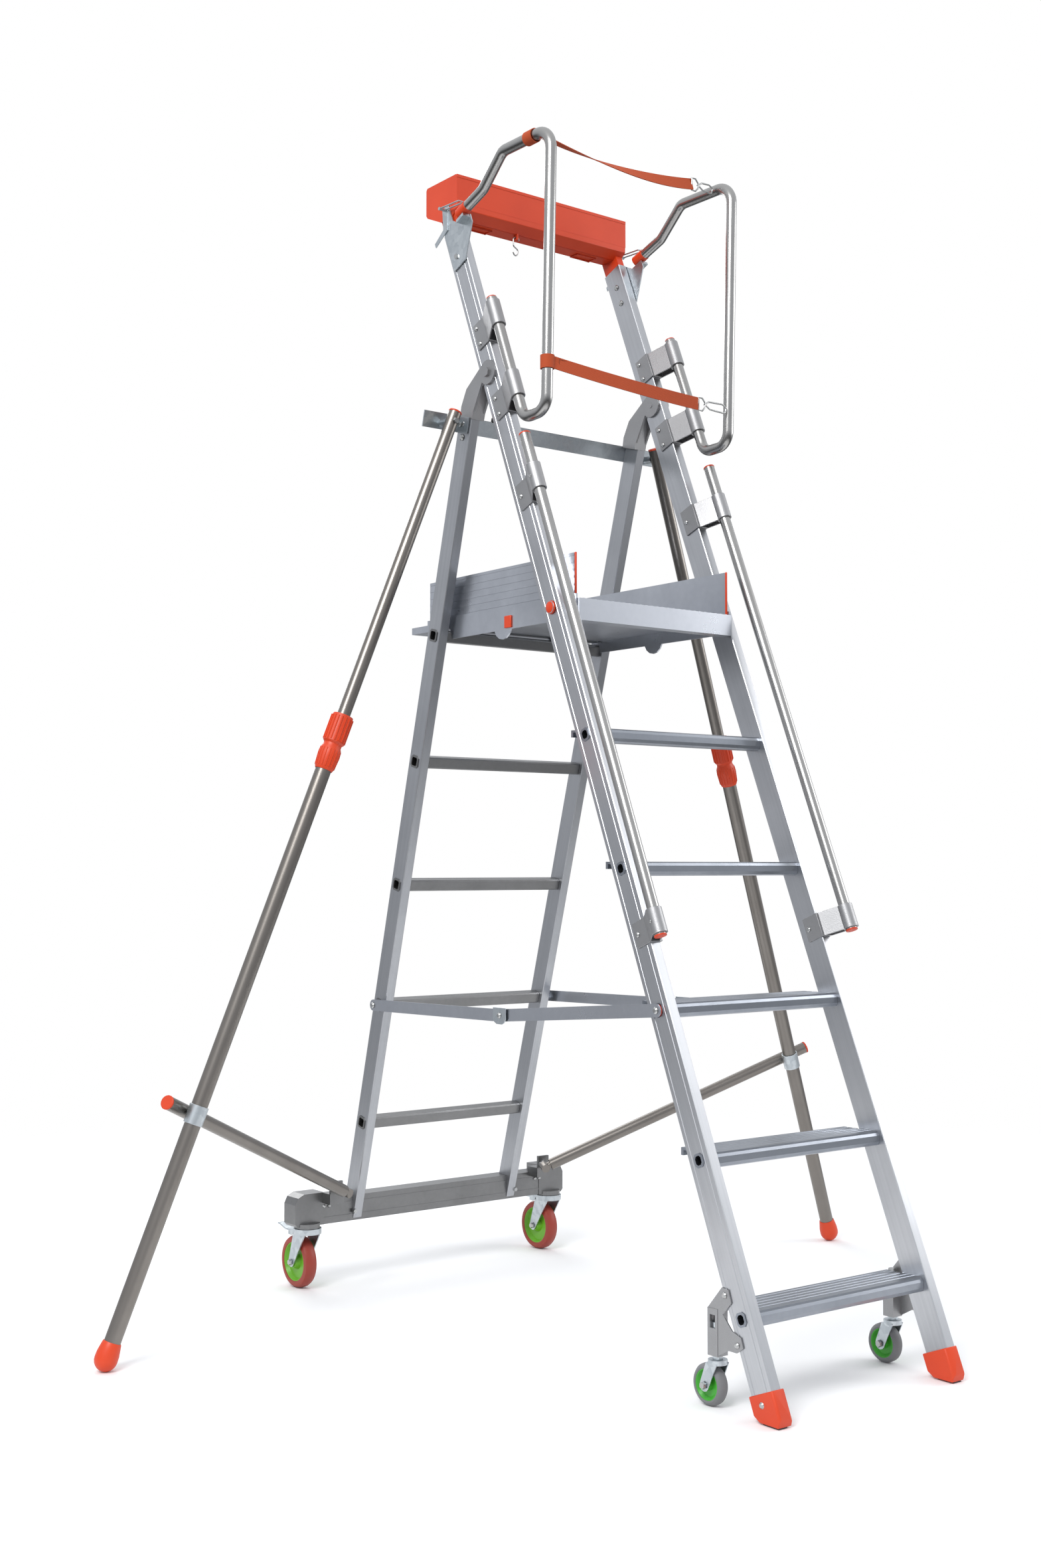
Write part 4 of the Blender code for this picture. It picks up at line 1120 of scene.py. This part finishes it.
@dataclass
class Webbing:
    """The two straps between the guard hoops, their stitches and hooks."""

    width: float = 0.0290
    thick: float = 0.0018
    body: str = "guard_hoop_left"
    reach: float = HOOP_X - 0.006
    upper_y: float = 0.690 - Y_CENTRE
    lower_y: float = 0.6270 - Y_CENTRE
    steps: int = 48
    loop_steps: int = 32
    dashes: int = 8

    def ribbon(self, centre: list[Vector], across: list[Vector], name: str) -> bpy.types.Mesh:
        """A flat strap along a line.

        Args:
            centre: its centre line.
            across: unit vectors across its width, one for each point.
            name: the mesh's name.

        Returns:
            The mesh, with strap coordinates in metres.
        """
        bm = bmesh.new()
        layer = bm.loops.layers.uv.new("strap")
        rings, reach, travelled = [], [], 0.0
        for i, point in enumerate(centre):
            if i:
                travelled += (point - centre[i - 1]).length
            reach.append(travelled)
            after = centre[min(i + 1, len(centre) - 1)]
            before = centre[max(i - 1, 0)]
            out = (after - before).normalized().cross(across[i]).normalized() * self.thick / 2
            side = across[i] * self.width / 2
            corners = ((-1, -1), (1, -1), (1, 1), (-1, 1))
            rings.append([bm.verts.new(point + a * side + b * out) for a, b in corners])
        wide = (-1, 1, 1, -1)
        for i in range(len(rings) - 1):
            for k in range(4):
                j = (k + 1) % 4
                face = bm.faces.new((rings[i][k], rings[i][j], rings[i + 1][j], rings[i + 1][k]))
                for loop, (u, v) in zip(face.loops, ((k, i), (j, i), (j, i + 1), (k, i + 1))):
                    loop[layer].uv = (wide[u] * self.width / 2, reach[v])
        bm.faces.new(rings[0][::-1])
        bm.faces.new(rings[-1])
        bmesh.ops.recalc_face_normals(bm, faces=bm.faces)
        mesh = bpy.data.meshes.new(name)
        bm.to_mesh(mesh)
        bm.free()
        return mesh

    def run(self, start: Vector, end: Vector, sag: float, turn: tuple[float, float]) -> tuple:
        """A sagging, slowly twisting run between two points.

        Args:
            start: its end at the left hoop.
            end: its end at the hook.
            sag: how far its middle hangs.
            turn: degrees that it leans, at the start and at the end.

        Returns:
            The centre line and the vectors across it.
        """
        centre, across = [], []
        for step in range(self.steps + 1):
            part = step / self.steps
            point = start.lerp(end, part)
            point.z -= 4 * sag * part * (1 - part)
            point.y -= 0.012 * math.sin(math.pi * part)
            centre.append(point)
            ease = 3 * part ** 2 - 2 * part ** 3
            angle = math.radians(turn[0] + (turn[1] - turn[0]) * ease)
            across.append(Vector((0, math.cos(angle), math.sin(angle))))
        return centre, across

    def build(self) -> None:
        """Build both straps on the left hoop."""
        upper = (
            Vector((-self.reach, self.upper_y, 2.6170)),
            Vector((self.reach - 0.075, 0.668 - Y_CENTRE, 2.5990)), 0.026, (12.0, 75.0),
        )
        lower = (
            Vector((-self.reach, self.lower_y, 2.0960)),
            Vector((self.reach - 0.095, self.lower_y, 2.0720)), 0.008, (82.0, 90.0),
        )
        for level, (start, end, sag, turn) in (("upper", upper), ("lower", lower)):
            centre, across = self.run(start, end, sag, turn)
            mesh = self.ribbon(centre, across, level)
            strap = piece(f"strap_{level}_web", mesh, STRAP, self.body, [f"strap_{level}"])
            length = sum((b - a).length for a, b in zip(centre, centre[1:]))
            self.loop(level, start)
            self.hook(level, centre[-1])

    def loop(self, level: str, start: Vector) -> None:
        """The strap's loop round the left hoop and its box of stitches.

        Args:
            level: upper or lower.
            start: where the strap's run begins.
        """
        upright = level == "lower"
        lower = Vector((-HOOP_X, 0.6352 - Y_CENTRE, start.z))
        upper = Vector((-HOOP_X, self.upper_y, 2.6037))
        radius = TUBE_R + 0.0022
        centre, across = [], []
        for step in range(self.loop_steps + 1):
            angle = math.pi * (0.5 + 2 * step / self.loop_steps)
            x, y = radius * math.cos(angle), radius * math.sin(angle)
            centre.append(lower + Vector((x, y, 0)) if upright else upper + Vector((x, 0, y)))
            across.append(Vector((0, 0, 1) if upright else (0, 1, 0)))
        piece(f"strap_{level}_loop", self.ribbon(centre, across, "loop"), STRAP, self.body)
        mesh = self.stitches(start, upright)
        piece(f"strap_{level}_stitches", mesh, THREAD, self.body)

    def stitches(self, start: Vector, upright: bool) -> bpy.types.Mesh:
        """A crossed box of stitches.

        Args:
            start: where the strap's run begins.
            upright: whether the strap stands on its edge there.

        Returns:
            Their mesh.
        """
        solid = Solid(ROOM)
        half = self.width / 2 - 0.005
        x0, x1 = start.x + 0.018, start.x + 0.046
        corners = [(x0, -half), (x1, -half), (x1, half), (x0, half), (x0, -half), (x1, half)]
        lift = self.thick / 2 + 0.0004
        for a, b in zip(corners, corners[1:]):
            for step in range(self.dashes):
                ends = []
                for part in ((step + 0.15) / self.dashes, (step + 0.85) / self.dashes):
                    x, w = a[0] + (b[0] - a[0]) * part, a[1] + (b[1] - a[1]) * part
                    drop = 0.004 * (x - start.x) / 0.05
                    on_edge = (x, start.y - lift - 0.0012, start.z + w - drop)
                    lying = (x, start.y + w, start.z + lift - drop)
                    ends.append(on_edge if upright else lying)
                solid.tube(ends, 0.0004, 6)
        return solid.mesh("stitches")

    def hook(self, level: str, end: Vector) -> None:
        """The wire ring and hook between the strap's end and the right hoop.

        Args:
            level: upper or lower.
            end: where the strap's run ends.
        """
        metal = Solid(ROOM)
        x, y, z = end
        half, tip = self.width / 2, self.reach - 0.010
        ring = [
            (x - 0.002, y, z - half), (x + 0.010, y, z - half), (x + 0.018, y, z - half * 0.4),
            (x + 0.018, y, z + half * 0.4), (x + 0.010, y, z + half), (x - 0.002, y, z + half),
        ]
        metal.tube(ring, 0.0020, 12, closed=True)
        corners = [
            (x + 0.016, y, z), (x + 0.030, y, z + 0.009), (tip - 0.012, y, z + 0.010),
            (tip, y, z + 0.004), (tip - 0.004, y, z - 0.010), (x + 0.034, y, z - 0.008),
            (x + 0.022, y, z - 0.001),
        ]
        wire = rounded_path(corners, (0.006, 0.012, 0.007, 0.008, 0.008), 6)
        metal.tube(wire, 0.0019, 12)
        piece(f"strap_{level}_hook", metal.mesh("hook"), BOLT, self.body)


@dataclass
class Deck:
    """Ribs and orange caps of the platform."""

    body: str = "platform"
    ribs: int = 27
    rib_pitch: float = 0.016
    rib_half: float = 0.003
    first_rib: float = -0.208
    board_ribs: tuple = (1.602, 1.618, 1.634, 1.650, 1.666, 1.682)

    def build(self) -> None:
        """Build the deck's ribs, its toe boards' ribs and the caps."""
        ribs = Solid(WORLD)
        for step in range(self.ribs):
            x = self.first_rib + step * self.rib_pitch
            span = (x - self.rib_half, x + self.rib_half)
            ribs.block(span, (0.5850, 1.2130), (1.5868, 1.5880))
        piece("deck_ribs", ribs.mesh("ribs"), ROLLED, self.body)
        boards = Solid(WORLD)
        for side in SIDES.values():
            x = spanned(side, 0.2222, 0.2236)
            for z in self.board_ribs:
                boards.block(x, (0.6010, 1.1390), (z - 0.0025, z + 0.0025))
        piece("toe_board_ribs", boards.mesh("boards"), ROLLED, self.body)
        caps = Solid(WORLD)
        y, z = DECK_HOLE * math.sin(FRONT_LEAN), DECK_HOLE * math.cos(FRONT_LEAN)
        button = [(0, 0.0001), (0, 0.0150), (0.004, 0.0146), (0.0062, 0.0110), (0.0066, 0.0001)]
        for side in SIDES.values():
            caps.lathe(button, (side * 0.2570, y, z), (side, 0, 0))
            caps.prism(
                [(0.8160, 1.5480), (0.8400, 1.5480), (0.8400, 1.5750), (0.8160, 1.5750)],
                *spanned(side, 0.2263, 0.2300), "X",
            )
            caps.block(spanned(side, 0.2190, 0.2232), (0.5955, 0.6000), (1.5890, 1.6868))
        piece("platform_caps", caps.mesh("caps"), ORANGE, self.body, bevel=0.0012)


@dataclass
class Spreaders:
    """Washers, rivets and mid clips of the folding bars."""

    rear_rivet: tuple = (0.2698, 1.3110, 0.6850)
    middle_rivet: tuple = (0.2712, 0.8030, 0.6930)
    clip: tuple = (
        (0.7800, 0.7100), (0.7800, 0.6860), (0.7850, 0.6780), (0.7930, 0.6740),
        (0.8130, 0.6740), (0.8210, 0.6780), (0.8260, 0.6860), (0.8260, 0.7100),
    )

    def build(self, heads: FastenerField) -> None:
        """Build both sides.

        Args:
            heads: where the rivets are noted.
        """
        along = FIRST_TREAD + 2 * PITCH
        y, z = along * math.sin(FRONT_LEAN), along * math.cos(FRONT_LEAN)
        disc = [(-0.0014, 0.0001), (-0.0014, 0.0118), (0.0014, 0.0118), (0.0014, 0.0001)]
        for name, side in SIDES.items():
            front, rear, out = f"spreader_front_{name}", f"spreader_rear_{name}", (side, 0, 0)
            washer = Solid(WORLD).lathe(disc, (side * 0.2606, y, z), out)
            piece(f"{front}_washer", washer.mesh("washer"), ORANGE, front)
            heads.add(front, WORLD, (side * 0.2665, y, z), out, BAR_RIVET)
            for (x, *place), head in (
                (self.rear_rivet, BAR_RIVET), (self.middle_rivet, CLIP_RIVET)
            ):
                heads.add(rear, WORLD, (side * x, *place), out, head)
            clip = Solid(WORLD).prism(self.clip, *spanned(side, 0.2690, 0.2706), "X")
            piece(f"{rear}_clip", clip.mesh("clip"), ZINC, rear, bevel=0.0005)


@dataclass
class Feet:
    """Moulded boots, soles and rivets of the front feet, and the castor housings' hardware."""

    front: float = -0.0325
    back: float = 0.0322
    top: float = 0.060

    def build(self, heads: FastenerField) -> None:
        """Build both sides.

        Args:
            heads: where the rivets are noted.
        """
        outline = [
            (0.2250, self.back), (0.2596, self.back), (0.2596, -0.0296), (0.2566, self.front),
            (0.2310, self.front), (0.2250, -0.0280),
        ]
        turn = FRONT.to_3x3()
        for name, side in SIDES.items():
            node, out = f"foot_cap_{name}", (side, 0, 0)
            low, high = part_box(node)
            cap = Solid(FRONT).prism([(side * x, y) for x, y in outline], -0.03, self.top, "Z")
            cap.trim((0, 0, 0.0030), (0, 0, -1))
            for edge, height, way in ((self.back, 0.0260, 0.80), (self.front, 0.0080, -0.80)):
                cap.trim(FRONT @ Vector((0, edge, height)), turn @ Vector((0, way, -0.60)))
            piece(f"{node}_boot", cap.mesh("boot"), ORANGE, FRONT_BODY, [node], 0.0018)
            sole = Solid(ROOM)
            x, y = (low.x + 0.0045, high.x - 0.0045), (-0.0200 - Y_CENTRE, 0.0200 - Y_CENTRE)
            sole.block(x, y, (0.0002, 0.0060))
            piece(f"foot_sole_{name}", sole.mesh("sole"), BLACK, FRONT_BODY)
            heads.add(FRONT_BODY, FRONT, (side * 0.2596, 0.004, 0.040), out, FOOT_RIVET)
            for place in ((0.1150, 0.2160), (0.0820, 0.1300)):
                heads.add(FRONT_BODY, WORLD, (side * 0.2600, *place), out, EAR_RIVET)
            housing = (side * 0.2465, 0.147, 0.1885)
            heads.add(FRONT_BODY, WORLD, housing, UPRIGHT, HOUSING_BOLT)


@dataclass
class Tray:
    """The tray's rim, the pockets under it and its hanging hook."""

    half: float = 0.2568
    hook_y: float = 1.0120
    hook: tuple = (
        (-0.0570, 2.5080), (-0.0570, 2.5150), (-0.0730, 2.5150), (-0.0730, 2.4930),
        (-0.0600, 2.4860), (-0.0600, 2.4740), (-0.0690, 2.4700), (-0.0740, 2.4780),
    )
    lip: tuple = (
        (0.9862, 2.5520), (1.0086, 2.5520), (1.0108, 2.5208), (1.0070, 2.5208), (0.9866, 2.5380),
    )
    pocket_x: tuple = (0.130, 0.190)
    pocket_y: tuple = (1.020, 1.048)
    wall: float = 0.003

    def build(self) -> None:
        """Build the hook, the rim and the pockets."""
        corners = [(x, self.hook_y, z) for x, z in self.hook]
        wire = rounded_path(corners, (0.003, 0.006, 0.006, 0.005, 0.005, 0.004), 6)
        mesh = Solid(WORLD).tube(wire, 0.0016, 12).mesh("hook")
        piece("tray_hook", mesh, BOLT, FRONT_BODY)
        rim = Solid(WORLD)
        rim.block((-0.2572, 0.2572), (0.9852, 0.9880), (2.6090, 2.6168))
        rim.prism(self.lip, -self.half, self.half, "X")
        piece("tray_rim", rim.mesh("rim"), ORANGE, FRONT_BODY, bevel=0.0010)
        pockets = Solid(WORLD)
        y0, y1 = self.pocket_y
        for side in SIDES.values():
            x0, x1 = spanned(side, *self.pocket_x)
            for x, y in (
                ((x0, x1), (y0, y0 + self.wall)), ((x0, x1), (y1 - self.wall, y1)),
                ((x0, x0 + self.wall), (y0, y1)), ((x1 - self.wall, x1), (y0, y1)),
            ):
                pockets.block(x, y, (2.5172, 2.5212))
        piece("tray_pockets", pockets.mesh("pockets"), ORANGE, FRONT_BODY, bevel=0.0006)


@dataclass
class RearHardware:
    """Casting rivets, beam screws, bracket bolts, beam lines and a plastic clip."""

    lines: tuple = (0.1680, 0.1990)
    beam_half: float = 0.3330

    def build(self, heads: FastenerField) -> None:
        """Build the hardware.

        Args:
            heads: where the rivets and bolts are noted.
        """
        front = (0, -1, 0)
        for side in SIDES.values():
            out, inward = (side, 0, 0), (-side, 0, 0)
            for body, space, (x, *place), way, head in (
                (REAR_BODY, REAR, (0.2630, 0.002, 2.098), out, CASTING_RIVET),
                (REAR_BODY, REAR, (0.2630, 0.002, 2.067), out, CASTING_RIVET),
                (REAR_BODY, WORLD, (0.3160, 1.4290, 0.1960), front, BEAM_SCREW),
                (REAR_BODY, WORLD, (0.3310, 1.4290, 0.1960), front, BEAM_SCREW),
                (REAR_BODY, WORLD, (0.2465, 1.4240, 0.1760), front, SMALL_BOLT),
                (FRONT_BODY, FRONT, (0.2314, 0.0, 2.640), inward, BRACKET_RIVET),
                (FRONT_BODY, FRONT, (0.2314, 0.0, 2.594), inward, BRACKET_RIVET),
                (FRONT_BODY, FRONT, (0.2595, 0.0, 2.612), out, BRACKET_BOLT),
                (REAR_BODY, REAR, (0.2670, 0.012, 2.095), out, SMALL_BOLT),
            ):
                heads.add(body, space, (side * x, *place), way, head)
        lines = Solid(WORLD)
        for z in self.lines:
            span = (-self.beam_half, self.beam_half)
            lines.block(span, (1.4300, 1.4312), (z - 0.0015, z + 0.0015))
        piece("beam_lines", lines.mesh("lines"), RUNG, REAR_BODY)
        clip = Solid(REAR).block((-0.1700, -0.1450), (0.0235, 0.0300), (2.1120, 2.1230))
        piece("band_clip", clip.mesh("clip"), BLACK, REAR_BODY, bevel=0.0012)


@dataclass
class Studio:
    """Floor, light and camera."""

    middle: tuple = (0, 0, 1.3)
    eye: tuple = (-2.648, -2.373 - Y_CENTRE, 1.017)
    yaw: float = math.radians(37.49)
    pitch: float = math.radians(2.61)

    def floor(self) -> None:
        """A pale floor that fades out into the surround."""
        bm = bmesh.new()
        bmesh.ops.create_grid(bm, x_segments=1, y_segments=1, size=5)
        mesh = bpy.data.meshes.new("floor")
        bm.to_mesh(mesh)
        bm.free()
        obj = bpy.data.objects.new("floor", mesh)
        bpy.context.scene.collection.objects.link(obj)
        material = bpy.data.materials.new("pale_floor")
        material.use_nodes = True
        shader = material.node_tree.nodes["Principled BSDF"]
        shader.inputs["Base Color"].default_value = (0.86, 0.86, 0.86, 1)
        shader.inputs["Roughness"].default_value = 0.8
        tree = material.node_tree
        place = tree.nodes.new("ShaderNodeTexCoord")
        reach = tree.nodes.new("ShaderNodeVectorMath")
        reach.operation = "LENGTH"
        fade = tree.nodes.new("ShaderNodeMapRange")
        fade.interpolation_type = "SMOOTHSTEP"
        fade.inputs["From Min"].default_value = 1.4
        fade.inputs["From Max"].default_value = 3.6
        fade.inputs["To Min"].default_value = 1.0
        fade.inputs["To Max"].default_value = 0.0
        tree.links.new(place.outputs["Object"], reach.inputs[0])
        tree.links.new(reach.outputs["Value"], fade.inputs["Value"])
        tree.links.new(fade.outputs["Result"], shader.inputs["Alpha"])
        mesh.materials.append(material)

    def lamp(self, name: str, place: Point, size: float, power: float) -> None:
        """A soft lamp aimed at the ladder's middle.

        Args:
            name: the lamp's name.
            place: where it hangs.
            size: its width.
            power: its power in watts.
        """
        light = bpy.data.lights.new(name, "AREA")
        light.shape = "SQUARE"
        light.size = size
        light.energy = power
        obj = bpy.data.objects.new(name, light)
        obj.location = place
        way = Vector(self.middle) - Vector(place)
        obj.rotation_euler = way.to_track_quat("-Z", "Y").to_euler()
        bpy.context.scene.collection.objects.link(obj)

    def sky(self) -> None:
        """A white surround that is dimmer low down, so that metal has something to show."""
        world = bpy.data.worlds.new("studio")
        bpy.context.scene.world = world
        world.use_nodes = True
        tree = world.node_tree
        add, link = tree.nodes.new, tree.links.new
        place = add("ShaderNodeTexCoord")
        split = add("ShaderNodeSeparateXYZ")
        link(place.outputs["Generated"], split.inputs[0])
        ramp = add("ShaderNodeValToRGB")
        ramp.color_ramp.elements[0].position = 0.30
        ramp.color_ramp.elements[0].color = (0.06, 0.06, 0.06, 1)
        ramp.color_ramp.elements[1].position = 0.95
        ramp.color_ramp.elements[1].color = (0.95, 0.97, 1.0, 1)
        middle = ramp.color_ramp.elements.new(0.54)
        middle.color = (0.66, 0.68, 0.72, 1)
        height = add("ShaderNodeMath")
        height.operation = "MULTIPLY_ADD"
        height.inputs[1].default_value = 0.5
        height.inputs[2].default_value = 0.5
        link(split.outputs[2], height.inputs[0])
        link(height.outputs[0], ramp.inputs[0])
        seen = add("ShaderNodeLightPath")
        mix = add("ShaderNodeMix")
        mix.data_type = "RGBA"
        link(seen.outputs["Is Camera Ray"], mix.inputs[0])
        link(ramp.outputs[0], mix.inputs[6])
        mix.inputs[7].default_value = (1.0, 1.0, 1.0, 1)
        background = tree.nodes["Background"]
        link(mix.outputs[2], background.inputs[0])
        background.inputs[1].default_value = 1.0

    def camera(self) -> None:
        """The camera at standing height, seeing the ladder from its front left."""
        lens = bpy.data.cameras.new("camera")
        lens.sensor_fit = "VERTICAL"
        lens.sensor_height = 36.0
        lens.lens = 41.62
        obj = bpy.data.objects.new("camera", lens)
        obj.location = self.eye
        flat = math.cos(self.pitch)
        way = Vector((math.sin(self.yaw) * flat, math.cos(self.yaw) * flat, math.sin(self.pitch)))
        obj.rotation_euler = way.to_track_quat("-Z", "Y").to_euler()
        bpy.context.scene.collection.objects.link(obj)
        bpy.context.scene.camera = obj

    def build(self) -> None:
        """Set the studio up."""
        self.floor()
        self.sky()
        self.lamp("key", (-4.0, -2.0, 4.5), 2.2, 210)
        self.lamp("fill", (4.5, -2.5, 3.0), 2.5, 80)
        self.lamp("back", (1.0, 5.0, 4.0), 3.0, 90)
        self.camera()
        bpy.context.scene.view_settings.view_transform = "Standard"


def main() -> None:
    """Build the studio and the ladder's pieces, in order."""
    logging.basicConfig(level=logging.INFO)
    Studio().build()
    CarriedNodes().dress()
    heads = FastenerField()
    GuardRails().build(heads)
    Wheels().build(heads)
    Stabilisers().build(heads)
    Webbing().build()
    Deck().build()
    Spreaders().build(heads)
    Feet().build(heads)
    Tray().build()
    RearHardware().build(heads)
    heads.build()


if __name__ == "__main__":
    main()
